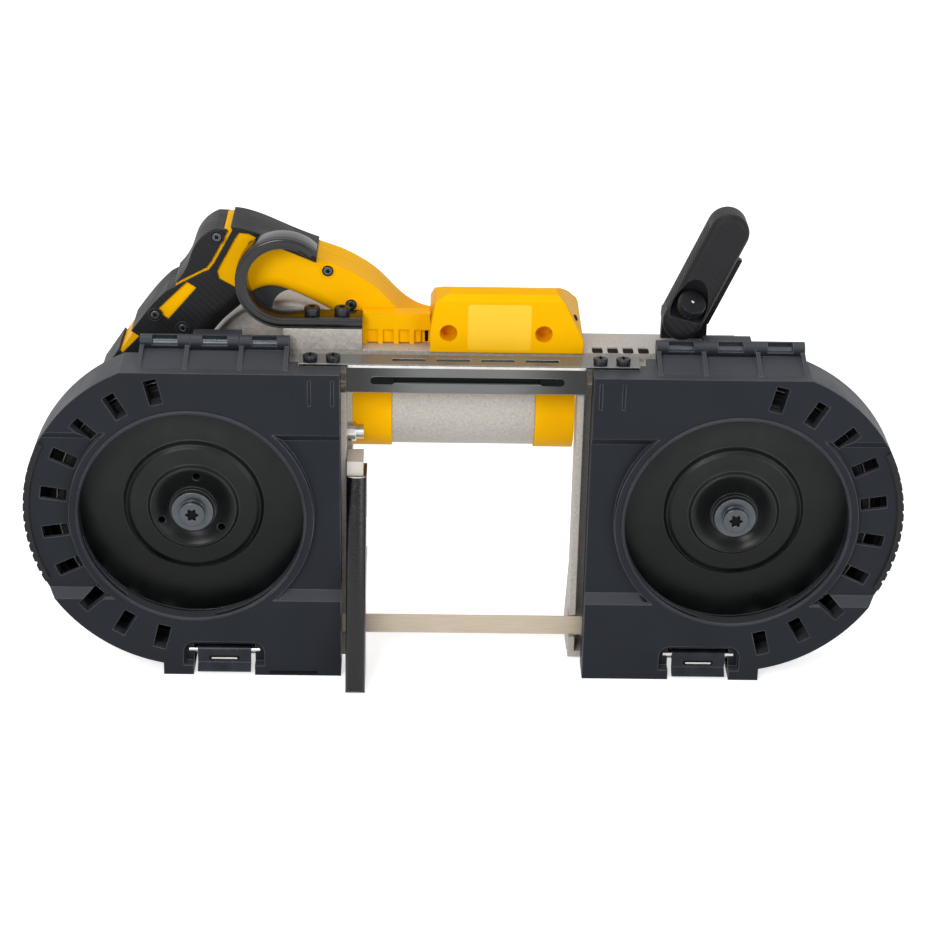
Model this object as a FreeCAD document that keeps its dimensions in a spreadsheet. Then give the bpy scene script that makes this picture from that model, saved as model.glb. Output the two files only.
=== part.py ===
"""Portable band saw: cast frame, two wheels, hinged wheel guard, motor, handle and hook.

Millimetres. X runs from the drive wheel to the idler wheel, Y away from the guard, Z up.
Y is measured from the blade plane, and every piece is then shifted by plane_y, so that the
origin lies under the middle of the whole saw.
"""
import FreeCAD, Part
import Sketcher
import math
import os

doc = FreeCAD.newDocument("portable_band_saw")
sheet = doc.addObject("Spreadsheet::Sheet", "sizes")

SIZES = {
    # place of the blade plane from the middle of the depth
    "plane_y": -20.75,
    # clearances
    "body_gap": 0.4, "seat_gap": 0.3, "run_gap": 0.05, "skirt_gap": 0.9, "overrun": 4.0,
    # wheels and blade
    "wheel_radius": 82.5, "wheel_floor": 25.5, "wheel_side": 6.5, "tyre_thick": 3.0,
    "tyre_crown": 0.6, "rim_width": 18.0, "rim_thick": 5.0, "web_thick": 4.0, "web_front": 5.0,
    "step_radius": 41.0, "step_front": 8.0, "boss_radius": 26.0, "boss_front": 10.0,
    "hub_radius": 14.0, "hub_front": 13.0, "step_run": 2.0, "axle_radius": 8.0,
    "bolt_flange": 2.5, "bolt_flange_radius": 12.5, "bolt_head": 3.5, "bolt_head_radius": 7.5,
    "bolt_radius": 3.0, "bolt_reach": 10.0, "puller_hole": 2.3, "puller_circle": 21.0,
    "blade_width": 12.7, "blade_thick": 0.6, "twist_start": 22.0, "twist_length": 40.0,
    # frame casting
    "throat_rear": 72.0, "throat_front": 67.0, "frame_wall": 4.0, "frame_plate": 6.0,
    "frame_back": 20.0, "frame_front": -3.0, "spine_drop": 15.0, "ledge_thick": 6.0,
    "ledge_back": 46.0, "ledge_hinge_back": 31.0, "skid_back": 50.0, "skid_height": 5.0,
    "rib_thick": 5.0, "rib_gap": 1.0,
    "pass_height": 16.0, "vent_width": 6.0, "vent_height": 3.4, "vent_pitch": 9.3,
    "vent_start": 76.0, "bearing_radius": 16.0, "bearing_width": 8.0, "pad_rise": 1.3,
    # wheel guard
    "guard_front": -24.0, "guard_wall": 3.0, "guard_margin": 19.5, "throat_cover": 3.0,
    "guard_head": 11.5, "band_depth": 5.5, "band_fall": 56.0, "band_rise": 55.0,
    "rim_cover": 14.5, "ring_width": 6.0, "slot_start_margin": 2.0, "slot_end_margin": 3.4,
    "slot_width": 8.0, "slot_angle": 16.9, "foot_reach": 20.0, "notch_width": 38.0,
    "notch_height": 13.0, "notch_inset": 17.5, "pocket_width": 50.0, "pocket_top": 23.0,
    "pocket_round": 7.0, "skirt_inner": 108.0, "groove_width": 1.6, "groove_depth": 1.2,
    "groove_length": 16.0, "lip_window": 3.0,
    "bumper_thick": 3.6, "bumper_angle": 54.0, "bumper_front": -20.0, "tooth_radius": 1.3,
    "tooth_angle": 3.9,
    # hinge
    "hinge_y": 8.0, "hinge_rise": 7.0, "pin_radius": 2.5, "knuckle_radius": 5.0,
    "hinge_length": 89.0, "hinge_rear": 150.5, "hinge_front": 158.0, "window_length": 15.0,
    "tray_run": 26.0, "tray_rib": 2.6, "leaf_run": 22.0,
    # latches
    "latch_width": 33.0, "latch_thick": 1.8, "latch_pin": 1.6, "latch_y": -17.0, "latch_z": 14.5,
    "latch_lip": 4.5, "latch_drop": 12.0,
    # blade rail
    "rail_front": -11.0, "rail_drop": 16.0, "rail_thick": 2.0,
    "rail_depth": 16.0, "rail_rear": 100.0, "rail_ahead": 103.0, "rail_face_rear": 72.0,
    "rail_slot": 20.0, "rail_slot_start": -34.6, "rail_slot_pitch": 26.6, "rail_slot_width": 4.0,
    "rail_groove": 112.0, "rail_groove_width": 4.0, "screw_radius": 4.2, "screw_head": 2.6,
    "screw_pitch": 13.6, "screw_shank": 1.8, "screw_reach": 6.0,
    # blade guides
    "guide_inset": 14.0, "roller_radius": 5.0, "roller_bore": 2.0, "roller_height": 11.0,
    "guide_length": 14.0, "guide_block": 8.0, "guide_reach": 11.0,
    # work stop
    "stop_thick": 12.0, "stop_front": -46.0, "stop_bottom": 0.6, "stop_top": 129.0,
    "stop_strip": 34.0, "stop_back": 13.0, "stop_step": 48.0, "stop_head": -6.0, "stop_tang": 10.0,
    "stop_tang_height": 9.4, "stop_bolt_z": 104.0, "stop_travel": 30.0,
    # motor and its drive
    "motor_y": 54.0, "motor_drop": 42.0, "motor_radius": 32.0, "motor_wall": 3.0,
    "sleeve_rear": 45.0, "sleeve_front": 43.0, "cap_length": 24.0, "stator_length": 40.0,
    "rotor_radius": 15.0, "rotor_length": 44.0, "shaft_radius": 4.0, "air_gap": 0.8,
    "motor_bearing_radius": 11.0, "motor_bearing_width": 7.0,
    "cross_offset": 20.78461, "bevel_module": 1.8, "gear_width": 7.0, "gear_back": 28.0,
    # gear case
    "case_wall": 4.0, "case_gear_gap": 1.8, "case_lobe_back": 50.0, "case_reach": 4.58461,
    "case_back": 86.0, "case_rise": 32.0, "case_fall": 32.0, "case_bevel": 11.0, "case_slope_run": 20.0,
    "case_slope_rise": 24.0,
    # motor cover
    "cover_front": 11.5, "cover_back": 80.0, "cover_rear": 22.0, "cover_ahead": 70.0,
    "cover_height": 37.7, "cover_back_height": 10.7, "cover_crest": 30.0, "cover_lean": 17.0,
    "cover_round": 12.0, "cover_edge": 5.0, "cover_screw": 5.2, "cover_screw_depth": 14.0,
    "saddle_rear": 63.0, "saddle_height": 19.5, "saddle_front": 24.0, "saddle_wall": 28.0,
    "beam_thick": 10.4, "saddle_rib": 3.0, "saddle_rib_pitch": 9.5,
    # main handle
    "handle_width": 34.0, "handle_round": 9.0, "handle_reach": 62.0,
    "handle_right": -22.0, "handle_fall": 46.0, "handle_rise": 82.0, "skin_thick": 1.6,
    "dock_clear": 3.0, "dock_width": 56.0, "dock_length": 40.0, "dock_thick": 13.0,
    "dock_place": 32.0, "dock_fall": 35.0, "dock_tilt": 35.0, "dock_groove": 3.4,
    "dock_groove_depth": 4.5, "terminal_width": 2.6, "terminal_pitch": 8.0, "terminal_length": 20.0,
    "trigger_width": 16.0, "trigger_travel": 6.0, "trigger_rise": 27.0,
    "trigger_length": 20.0, "trigger_depth": 17.0, "trigger_lean": 52.0, "finger_radius": 13.0,
    "finger_hollow": 3.0, "button_rise": 59.0, "button_radius": 3.2,
    "button_length": 5.0, "button_proud": 2.5,
    # hanging hook
    "hook_front": 13.5, "hook_width": 15.0, "hook_thick": 6.7, "hook_radius": 25.0,
    "hook_x": -110.0, "hook_end": -63.0, "hook_rise": 14.6, "hook_screw_place": 84.0,
    "hook_screw_pitch": 18.0, "hook_screw_radius": 4.6, "hook_screw_head": 2.8,
    # front handle
    "grip_pivot_x": 133.0, "grip_rise": 27.0, "grip_front": 17.0, "grip_thick": 22.0,
    "grip_width": 24.0, "grip_length": 53.0, "grip_foot": 8.0, "grip_lean": 66.0,
    "pivot_radius": 9.0, "knob_radius": 7.6, "knob_proud": 5.0, "knob_stem": 4.0,
    "bracket_thick": 5.0, "bracket_width": 28.0, "bracket_length": 36.0, "bracket_offset": 6.0,
    "bracket_foot": 11.0,
    # blade tension
    "slide_length": 46.0, "slide_height": 30.0, "slide_thick": 6.0, "stub_radius": 8.0,
    "tension_travel": 3.6, "lever_length": 50.0, "lever_width": 16.0, "lever_thick": 7.0,
    "lever_inset": 36.0, "lever_rise": 44.0, "lever_pin": 5.0, "lever_gap": 1.2,
    "idler_bearing_radius": 12.0,
}

GEAR_TEETH, PINION_TEETH = 38, 18
# depth of a tooth's root and height of its tip, from the pitch line
DEPTH_SHARES = (0.9, 0.6)
TRIGGER_PLACE_SHARE = 0.5377358
BUTTON_PLACE_SHARE = 0.5113208

# sizes that follow from others
DERIVED = {
    "axle_height": "wheel_radius + wheel_floor",
    "wheel_spacing": "2 * (throat_rear + frame_wall + wheel_side + wheel_radius)",
    "guard_inner": "throat_rear + throat_cover",
    "guide_place": "throat_rear + guide_inset",
    "opening_radius": "wheel_radius - rim_cover",
    "guard_radius": "wheel_radius + guard_margin",
    "guard_top": "axle_height + wheel_radius + guard_head",
    "band_low": "axle_height - band_fall",
    "band_high": "axle_height + band_rise",
    "spine_bottom": "guard_top - spine_drop",
    "pad_top": "guard_top + pad_rise",
    "hinge_z": "guard_top + hinge_rise",
    "notch_centre": "wheel_spacing / 2 - notch_inset",
    "rail_bottom": "guard_top - rail_drop",
    "motor_z": "guard_top - motor_drop",
    "gear_module": f"2 * sqrt((motor_z - axle_height)^2 + cross_offset^2) / {GEAR_TEETH + PINION_TEETH}",
    "case_lobe": f"gear_module * {GEAR_TEETH / 2 + DEPTH_SHARES[1]} + case_gear_gap + case_wall",
    "rib_height": "axle_height - case_lobe - rib_gap",
    "pinion_tip": f"gear_module * {PINION_TEETH / 2 + DEPTH_SHARES[1]}",
    "case_rear": "wheel_spacing / 2 - cross_offset + pinion_tip + case_wall + case_reach",
    "case_top": "motor_z + case_rise",
    "case_low": "motor_z - case_fall",
    "cover_top": "pad_top + cover_height",
    "cover_back_top": "pad_top + cover_back_height",
    "saddle_top": "pad_top + saddle_height",
    "handle_left": "0 - case_rear - handle_reach",
    "handle_low": "guard_top - handle_fall",
    "handle_high": "guard_top + handle_rise",
    "dock_x": "handle_left + dock_place",
    "dock_z": "guard_top - dock_fall",
    "trigger_x": f"handle_left + (handle_right - handle_left) * {TRIGGER_PLACE_SHARE}",
    "trigger_z": "guard_top + trigger_rise",
    "button_x": f"handle_left + (handle_right - handle_left) * {BUTTON_PLACE_SHARE}",
    "button_z": "guard_top + button_rise",
    "hook_seat": "guard_top + hook_rise",
    "grip_pivot_z": "guard_top + grip_rise",
    "lever_x": "wheel_spacing / 2 - lever_inset",
    "lever_z": "axle_height + lever_rise",
}

for row, (alias, number) in enumerate(SIZES.items(), start=1):
    sheet.set(f"A{row}", alias)
    sheet.set(f"B{row}", str(number))
    sheet.setAlias(f"B{row}", alias)
for row, (alias, formula) in enumerate(DERIVED.items(), start=len(SIZES) + 1):
    sheet.set(f"A{row}", alias)
    sheet.set(f"B{row}", f"={formula}")
    sheet.setAlias(f"B{row}", alias)
doc.recompute()


class Size:
    """A number together with the spreadsheet expression that it comes from."""

    def __init__(self, number, text):
        self.number = number
        self.text = text

    def __add__(self, other):
        other = as_size(other)
        return Size(self.number + other.number, f"({self.text} + {other.text})")

    def __sub__(self, other):
        other = as_size(other)
        return Size(self.number - other.number, f"({self.text} - {other.text})")

    def __rsub__(self, other):
        return as_size(other) - self

    def __mul__(self, share):
        return Size(self.number * share, f"({self.text} * {share!r})")

    __radd__ = __add__
    __rmul__ = __mul__

    def __truediv__(self, share):
        return Size(self.number / share, f"({self.text} / {share!r})")

    def __neg__(self):
        return Size(-self.number, f"(0 - {self.text})")

    def __abs__(self):
        return self if self.number >= 0 else -self


def as_size(value):
    return value if isinstance(value, Size) else Size(float(value), repr(float(value)))


class Named:
    """The spreadsheet's sizes by name."""

    def __getattr__(self, alias):
        return Size(float(sheet.get(alias)), f"sizes.{alias}")


dim = Named()
finished = {}
X_AXIS = FreeCAD.Vector(1, 0, 0)
Y_AXIS = FreeCAD.Vector(0, 1, 0)
Z_AXIS = FreeCAD.Vector(0, 0, 1)
TURNS = {
    "x": FreeCAD.Rotation(Y_AXIS, 90),
    "y": FreeCAD.Rotation(X_AXIS, -90),
    "z": FreeCAD.Rotation(),
    "-x": FreeCAD.Rotation(Y_AXIS, -90),
}
REAR, FRONT = -1, 1
BEVEL_TEETH, BEVEL_PINION_TEETH = 20, 10
BEVEL_FACE_SHARE = 0.34
FLANK_SHARES = (-0.26, -0.1, 0.1, 0.26)
BEVEL_FLANK_SHARES = (-0.18, -0.07, 0.07, 0.18)
# depth of a bevel tooth's root and height of its tip, from the pitch line
BEVEL_DEPTH_SHARES = (1.0, 0.45)
SLOT_COUNT, TWIST_STEPS, PULLER_HOLES = 10, 6, 3
PULLER_TURN, HALF_TURN, QUARTER_TURN = -37, 180, 90
LIP_WINDOW_ANGLES = {-1: ((193, 233), (281, 314)), 1: ((216, 253), (301, 336))}
CREST_SHARE = 0.5
SCREW_RISE_SHARE, SCREW_PLACE_SHARE = 0.72, 0.66
HOOK_TIP_SHARE = 0.82
GRIP_ROUND_SHARE, BOSS_DEPTH_SHARE, KNOB_POCKET_SHARE, KNOB_RISE_SHARE = 0.35, 0.4, 0.3, 0.2
KNOB_AXIS_SHARES = (0.21, -0.565, 0.8)
HANDLE_BACK_SHARES = [
    (0.051, 0.146), (0.114, 0.298), (0.178, 0.447), (0.233, 0.555), (0.287, 0.642),
    (0.318, 0.723), (0.336, 0.805), (0.370, 0.873), (0.416, 0.905), (0.469, 0.898),
    (0.575, 0.830), (0.679, 0.762), (0.736, 0.730), (0.792, 0.684), (0.849, 0.617),
    (0.899, 0.531), (0.944, 0.470), (1.000, 0.434)]
HANDLE_FOOT_SHARES = [
    (1.000, 0.370), (0.807, 0.370)]
HANDLE_BELLY_SHARES = [
    (0.764, 0.430), (0.708, 0.495), (0.646, 0.549), (0.594, 0.587), (0.542, 0.605),
    (0.495, 0.581), (0.453, 0.520), (0.401, 0.442), (0.358, 0.352), (0.311, 0.246),
    (0.250, 0.078)]
GRIP_SHARES = [
    (0.698, 1.047), (0.675, 0.746), (0.583, 0.809), (0.538, 0.841), (0.486, 0.884),
    (0.459, 0.889), (0.447, 0.862), (0.394, 0.700), (0.399, 0.659), (0.435, 0.626),
    (0.464, 0.596), (0.486, 0.592), (0.500, 0.516), (0.500, -0.125), (-0.241, -0.125),
    (-0.241, 1.047)]
GRIP_WINDOW_SHARES = [
    [(0.368, 0.942), (0.408, 0.942), (0.436, 0.919), (0.440, 0.899), (0.386, 0.736),
     (0.369, 0.700), (0.354, 0.691), (0.191, 0.545), (0.188, 0.559), (0.353, 0.706),
     (0.365, 0.716), (0.379, 0.748), (0.428, 0.897), (0.422, 0.905), (0.368, 0.908)],
    [(0.216, 0.495), (0.308, 0.644), (0.335, 0.614), (0.252, 0.455)],
    [(0.094, 0.320), (0.145, 0.392), (0.167, 0.367), (0.116, 0.279)]]


def bind(thing, **properties):
    """Ties properties to spreadsheet expressions; a double underscore stands for a dot."""
    for name, value in properties.items():
        thing.setExpression(name.replace("__", "."), as_size(value).text)


def place(thing, x, y, z):
    bind(thing, Placement__Base__x=x, Placement__Base__y=y, Placement__Base__z=z)


def finish(thing, label):
    """Names a sub-part and shifts it from the blade plane to the saw's own frame."""
    thing.Label = label
    bind(thing, Placement__Base__y=dim.plane_y)
    finished[label] = thing
    return thing


def ordered(one, other):
    one, other = as_size(one), as_size(other)
    return (one, other) if one.number <= other.number else (other, one)


def box(x_ends, y_ends, z_ends):
    """A block between two places on each axis, given in either order."""
    (x0, x1), (y0, y1), (z0, z1) = (ordered(*ends) for ends in (x_ends, y_ends, z_ends))
    block = doc.addObject("Part::Box", "block")
    bind(block, Length=x1 - x0, Width=y1 - y0, Height=z1 - z0)
    place(block, x0, y0, z0)
    return block


def rod(axis, centre, radius, ends):
    """A cylinder along an axis; centre holds the two other coordinates in X, Y, Z order."""
    start, end = ordered(*ends)
    bar = doc.addObject("Part::Cylinder", "rod")
    bar.Placement.Rotation = TURNS[axis]
    bind(bar, Radius=radius, Height=end - start)
    spots = list(centre)
    spots.insert("xyz".index(axis), start)
    place(bar, *spots)
    return bar


def fuse(*pieces):
    if len(pieces) == 1:
        return pieces[0]
    joined = doc.addObject("Part::MultiFuse", "joined")
    joined.Shapes = list(pieces)
    joined.Refine = True
    return joined


def cut(base, *tools):
    removed = doc.addObject("Part::Cut", "removed")
    removed.Base = base
    removed.Tool = fuse(*tools)
    removed.Refine = True
    return removed


def common(base, tool):
    shared = doc.addObject("Part::Common", "shared")
    shared.Base = base
    shared.Tool = tool
    return shared


def group(*pieces):
    """Separate solids that share one sub-part."""
    gathered = doc.addObject("Part::Compound", "group")
    gathered.Links = list(pieces)
    return gathered


def origin_plane(body, role):
    return next(item for item in body.Origin.OriginFeatures if item.Role == role)


def profile(body, role, points):
    """A closed sketch of straight sides, each corner held by two driven distances."""
    sketch = body.newObject("Sketcher::SketchObject", "profile")
    sketch.AttachmentSupport = [(origin_plane(body, role), "")]
    sketch.MapMode = "FlatFace"
    corners = [(as_size(u), as_size(v)) for u, v in points]
    vectors = [FreeCAD.Vector(u.number, v.number, 0) for u, v in corners]
    for index, start in enumerate(vectors):
        end = vectors[(index + 1) % len(vectors)]
        sketch.addGeometry(Part.LineSegment(start, end), False)
    for index in range(len(vectors)):
        following = (index + 1) % len(vectors)
        sketch.addConstraint(Sketcher.Constraint("Coincident", index, 2, following, 1))
    for index, (u, v) in enumerate(corners):
        for kind, size in (("DistanceX", u), ("DistanceY", v)):
            number = sketch.addConstraint(Sketcher.Constraint(kind, -1, 1, index, 1, size.number))
            sketch.setExpression(f"Constraints[{number}]", size.text)
    return sketch


def turned(points, axis="y"):
    """A solid of revolution about X, Y or Z; points are (radius, place along the axis)."""
    body = doc.addObject("PartDesign::Body", "turned")
    flip = axis == "x"
    sketch = profile(body, "XZ_Plane" if axis == "z" else "XY_Plane",
                     [(along, radius) if flip else (radius, along) for radius, along in points])
    revolve = body.newObject("PartDesign::Revolution", "revolve")
    revolve.Profile = sketch
    revolve.ReferenceAxis = (sketch, ["H_Axis" if flip else "V_Axis"])
    revolve.Angle = 360.0
    return body


def extruded(role, points, ends):
    """A straight-sided profile drawn out along X, Y or Z between two places."""
    start, end = ordered(*ends)
    body = doc.addObject("PartDesign::Body", "extruded")
    sketch = profile(body, role, points)
    facing_back = role == "XZ_Plane"
    bind(sketch, AttachmentOffset__Base__z=-end if facing_back else start)
    pad = body.newObject("PartDesign::Pad", "pad")
    pad.Profile = sketch
    bind(pad, Length=end - start)
    return body


def shaped(shape):
    """A free form that keeps its own place inside its sub-part."""
    feature = doc.addObject("Part::Feature", "shaped")
    feature.Shape = shape
    return group(feature)


def wheel_x(side):
    return dim.wheel_spacing * (side / 2)


# Frame


def lobe(side, radius, inner, top, bottom, foot_reach, y_ends):
    """The outline of one wheel housing: a disc with a square inner end and a flat foot."""
    centre = wheel_x(side)
    disc = rod("y", (centre, dim.axle_height), radius, y_ends)
    inner_x = inner * side
    block = box((inner_x, centre), y_ends, (bottom, top))
    foot = box((inner_x, centre + foot_reach * side), y_ends, (bottom, dim.axle_height / 2))
    outline = fuse(disc, block, foot)
    reach = radius + foot_reach
    limits = box((inner_x, centre + reach * side), y_ends, (bottom, top))
    return common(outline, limits)


def frame_top():
    return dim.guard_top - dim.guard_wall - dim.skirt_gap


def frame_shell(side, throat):
    """One housing of the casting: a back plate with a rim that stands inside the cover's skirt."""
    inset = dim.guard_wall + dim.skirt_gap
    radius = dim.guard_radius - dim.bumper_thick - inset
    reach = dim.foot_reach - inset
    wall = dim.frame_wall
    outer = lobe(side, radius, throat, frame_top(), inset, reach, (dim.frame_front, dim.frame_back))
    inner = lobe(side, radius - wall, throat + wall, frame_top() - wall, inset + wall, reach - wall,
                 (dim.frame_front - dim.overrun, dim.frame_back - dim.frame_plate))
    return cut(outer, inner)


def frame_skid(side, throat):
    """The flat foot behind a housing, stiffened by two ribs on the back plate."""
    ends = (dim.frame_back - dim.frame_plate, dim.skid_back)
    outer_x = wheel_x(side) + dim.foot_reach * side
    skid = box((throat * side, outer_x), ends, (as_size(0), dim.skid_height))
    ribs = []
    for rib_x in (throat * side, outer_x - dim.rib_thick * side):
        web = extruded("YZ_Plane", [
            (dim.frame_back - dim.seat_gap, dim.skid_height - dim.seat_gap),
            (dim.skid_back, dim.skid_height - dim.seat_gap),
            (dim.frame_back - dim.seat_gap, dim.rib_height),
        ], (rib_x, rib_x + dim.rib_thick * side))
        ribs.append(web)
    return [skid] + ribs


def blade_passes():
    """Slots, open to the front, where the blade leaves each housing."""
    upper = dim.axle_height + dim.wheel_radius
    lower = dim.axle_height - dim.wheel_radius
    back = dim.blade_width / 2 + dim.overrun
    half = dim.guard_inner + dim.guard_wall + dim.overrun
    reach = (-half, half)
    return [box(reach, (dim.frame_front - dim.overrun, back),
                (level - dim.pass_height / 2, level + dim.pass_height / 2))
            for level in (upper, lower)]


def build_frame():
    plate_ends = (dim.frame_back - dim.frame_plate, dim.frame_back)
    spine = box((-dim.throat_rear, dim.throat_front), plate_ends,
                (dim.spine_bottom, dim.pad_top))
    ledge_z = (dim.pad_top - dim.ledge_thick, dim.pad_top)
    ledge = box((-dim.wheel_spacing / 2, dim.wheel_spacing / 2),
                (dim.frame_back - dim.frame_plate, dim.ledge_hinge_back), ledge_z)
    seat = box((-dim.saddle_rear, dim.wheel_spacing / 2),
               (dim.frame_back - dim.frame_plate, dim.ledge_back), ledge_z)
    boss = box((dim.hook_x, dim.hook_end), (dim.hook_front, dim.hook_front + dim.hook_width),
               (dim.pad_top - dim.seat_gap, dim.hook_seat))
    pieces = [frame_shell(REAR, dim.throat_rear), frame_shell(FRONT, dim.throat_front),
              spine, ledge, seat, boss]
    pieces += frame_skid(REAR, dim.throat_rear) + frame_skid(FRONT, dim.throat_front)
    hub = rod("y", (wheel_x(REAR), dim.axle_height), dim.bearing_radius + dim.frame_wall,
              (dim.frame_back - dim.bearing_width, dim.frame_back))
    pieces.append(hub)
    bore = rod("y", (wheel_x(REAR), dim.axle_height), dim.bearing_radius,
               (-dim.overrun, dim.frame_back + dim.overrun))
    slide_way = box((wheel_x(FRONT) - dim.slide_length / 2 - dim.tension_travel - dim.body_gap,
                     wheel_x(FRONT) + dim.slide_length / 2 + dim.body_gap),
                    (-dim.overrun, dim.frame_back + dim.overrun),
                    (dim.axle_height - dim.slide_height / 2 - dim.body_gap,
                     dim.axle_height + dim.slide_height / 2 + dim.body_gap))
    vents = []
    for index in range(4):
        vent_x = dim.vent_start + dim.vent_pitch * index
        vents.append(box((vent_x, vent_x + dim.vent_width),
                         (dim.frame_back, dim.frame_back + dim.vent_height),
                         (dim.pad_top - dim.ledge_thick - dim.overrun, dim.pad_top + dim.overrun)))
    hook_holes = [rod("z", (x, dim.hook_front + dim.hook_width / 2), dim.screw_shank,
                      (dim.hook_seat - dim.screw_reach, dim.hook_seat + dim.overrun))
                  for x in hook_screw_places()]
    lever_hole = rod("y", (dim.lever_x, dim.lever_z), dim.lever_pin + dim.run_gap,
                     (-dim.overrun, dim.frame_back + dim.overrun))
    stop_hole = rod("x", (stop_bolt_y(), dim.stop_bolt_z), dim.bolt_radius,
                    (-dim.throat_rear - dim.frame_wall - dim.overrun, -dim.throat_rear + dim.overrun))
    finish(cut(fuse(*pieces), bore, slide_way, lever_hole, stop_hole, *vents, *hook_holes,
               *blade_passes()), "frame_casting")
    bearing = turned([(dim.axle_radius + dim.run_gap, dim.frame_back - dim.bearing_width),
                      (dim.bearing_radius, dim.frame_back - dim.bearing_width),
                      (dim.bearing_radius, dim.frame_back),
                      (dim.axle_radius + dim.run_gap, dim.frame_back)])
    place(bearing, wheel_x(REAR), dim.plane_y, dim.axle_height)
    finish(bearing, "drive_bearing")


# Wheels and blade


def wheel_profile(bore):
    """Half section of a dished wheel with a stepped web, from the bore outwards."""
    tyre_seat = dim.wheel_radius - dim.tyre_thick
    rim_inside = tyre_seat - dim.rim_thick
    half_rim = dim.rim_width / 2
    return [
        (bore, -dim.hub_front), (dim.hub_radius, -dim.hub_front),
        (dim.hub_radius, -dim.boss_front), (dim.boss_radius, -dim.boss_front),
        (dim.boss_radius + dim.step_run, -dim.step_front), (dim.step_radius, -dim.step_front),
        (dim.step_radius + dim.step_run, -dim.web_front),
        (rim_inside - dim.step_run, -dim.web_front), (rim_inside, -half_rim),
        (tyre_seat, -half_rim), (tyre_seat, half_rim), (rim_inside, half_rim),
        (rim_inside - dim.step_run, dim.web_thick - dim.web_front),
        (dim.step_radius + dim.step_run, dim.web_thick - dim.web_front),
        (dim.step_radius, dim.web_thick - dim.step_front),
        (dim.boss_radius, dim.web_thick - dim.step_front),
        (dim.hub_radius + dim.step_run * 2, half_rim), (bore, half_rim),
    ]


def tyre_profile():
    seat = dim.wheel_radius - dim.tyre_thick
    half = dim.rim_width / 2 - dim.tyre_crown
    return [(seat, -half), (dim.wheel_radius - dim.tyre_crown, -half), (dim.wheel_radius, 0),
            (dim.wheel_radius - dim.tyre_crown, half), (seat, half)]


def bolt_profile():
    """A flanged bolt seated on the hub face."""
    flange_front = -dim.hub_front - dim.bolt_flange
    head_front = flange_front - dim.bolt_head
    return [(as_size(0), head_front), (dim.bolt_head_radius, head_front),
            (dim.bolt_head_radius, flange_front), (dim.bolt_flange_radius, flange_front),
            (dim.bolt_flange_radius, -dim.hub_front), (dim.bolt_radius, -dim.hub_front),
            (dim.bolt_radius, dim.bolt_reach - dim.hub_front),
            (as_size(0), dim.bolt_reach - dim.hub_front)]


def axle_profile(radius, back):
    """A shaft with a blind hole in its front end for the wheel bolt."""
    return [(dim.bolt_radius, -dim.hub_front), (radius, -dim.hub_front), (radius, back),
            (as_size(0), back), (as_size(0), dim.bolt_reach - dim.hub_front),
            (dim.bolt_radius, dim.bolt_reach - dim.hub_front)]


def at_wheel(body, side, label):
    place(body, wheel_x(side), dim.plane_y, dim.axle_height)
    return finish(body, label)


def build_wheels():
    disc = turned(wheel_profile(dim.axle_radius))
    holes = []
    for index in range(PULLER_HOLES):
        angle = 2 * math.pi * index / PULLER_HOLES + math.radians(PULLER_TURN)
        spot = (dim.puller_circle * math.cos(angle), dim.puller_circle * math.sin(angle))
        holes.append(rod("y", spot, dim.puller_hole, (-dim.hub_front, dim.rim_width / 2)))
    drive = cut(disc, *holes)
    at_wheel(drive, REAR, "drive_wheel")
    at_wheel(turned(tyre_profile()), REAR, "drive_tyre")
    at_wheel(turned(bolt_profile()), REAR, "drive_wheel_bolt")
    at_wheel(turned(axle_profile(dim.axle_radius, dim.case_lobe_back - dim.case_wall - dim.seat_gap)),
             REAR, "drive_axle")
    at_wheel(turned(wheel_profile(dim.idler_bearing_radius)), FRONT, "idler_wheel")
    at_wheel(turned(tyre_profile()), FRONT, "idler_tyre")
    half = dim.rim_width / 2
    bore = dim.stub_radius + dim.run_gap
    at_wheel(turned([(bore, -dim.hub_front), (dim.idler_bearing_radius, -dim.hub_front),
                     (dim.idler_bearing_radius, half), (bore, half)]), FRONT, "idler_bearing")
    at_wheel(turned([(dim.stub_radius + dim.body_gap, -dim.hub_front - dim.body_gap),
                     (dim.bolt_flange_radius, -dim.hub_front - dim.body_gap),
                     (dim.bolt_flange_radius, -dim.hub_front - dim.bolt_flange),
                     (dim.bolt_head_radius, -dim.hub_front - dim.bolt_flange),
                     (dim.bolt_head_radius, -dim.hub_front - dim.bolt_flange - dim.bolt_head),
                     (as_size(0), -dim.hub_front - dim.bolt_flange - dim.bolt_head),
                     (as_size(0), dim.bolt_reach - dim.hub_front),
                     (dim.bolt_radius, dim.bolt_reach - dim.hub_front),
                     (dim.bolt_radius, -dim.hub_front - dim.body_gap)]), FRONT, "idler_wheel_bolt")


def blade_section(place_x, level, turn):
    """The blade's rectangle across X at a place on the lower run, turned about X."""
    half_width = dim.blade_width.number / 2
    half_thick = dim.blade_thick.number / 2
    corners = [(-half_width, -half_thick), (half_width, -half_thick),
               (half_width, half_thick), (-half_width, half_thick)]
    points = []
    for across, up in corners:
        y = across * math.cos(turn) - up * math.sin(turn)
        z = across * math.sin(turn) + up * math.cos(turn)
        points.append(FreeCAD.Vector(place_x, y, level + z))
    return Part.makePolygon(points + points[:1])


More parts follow.
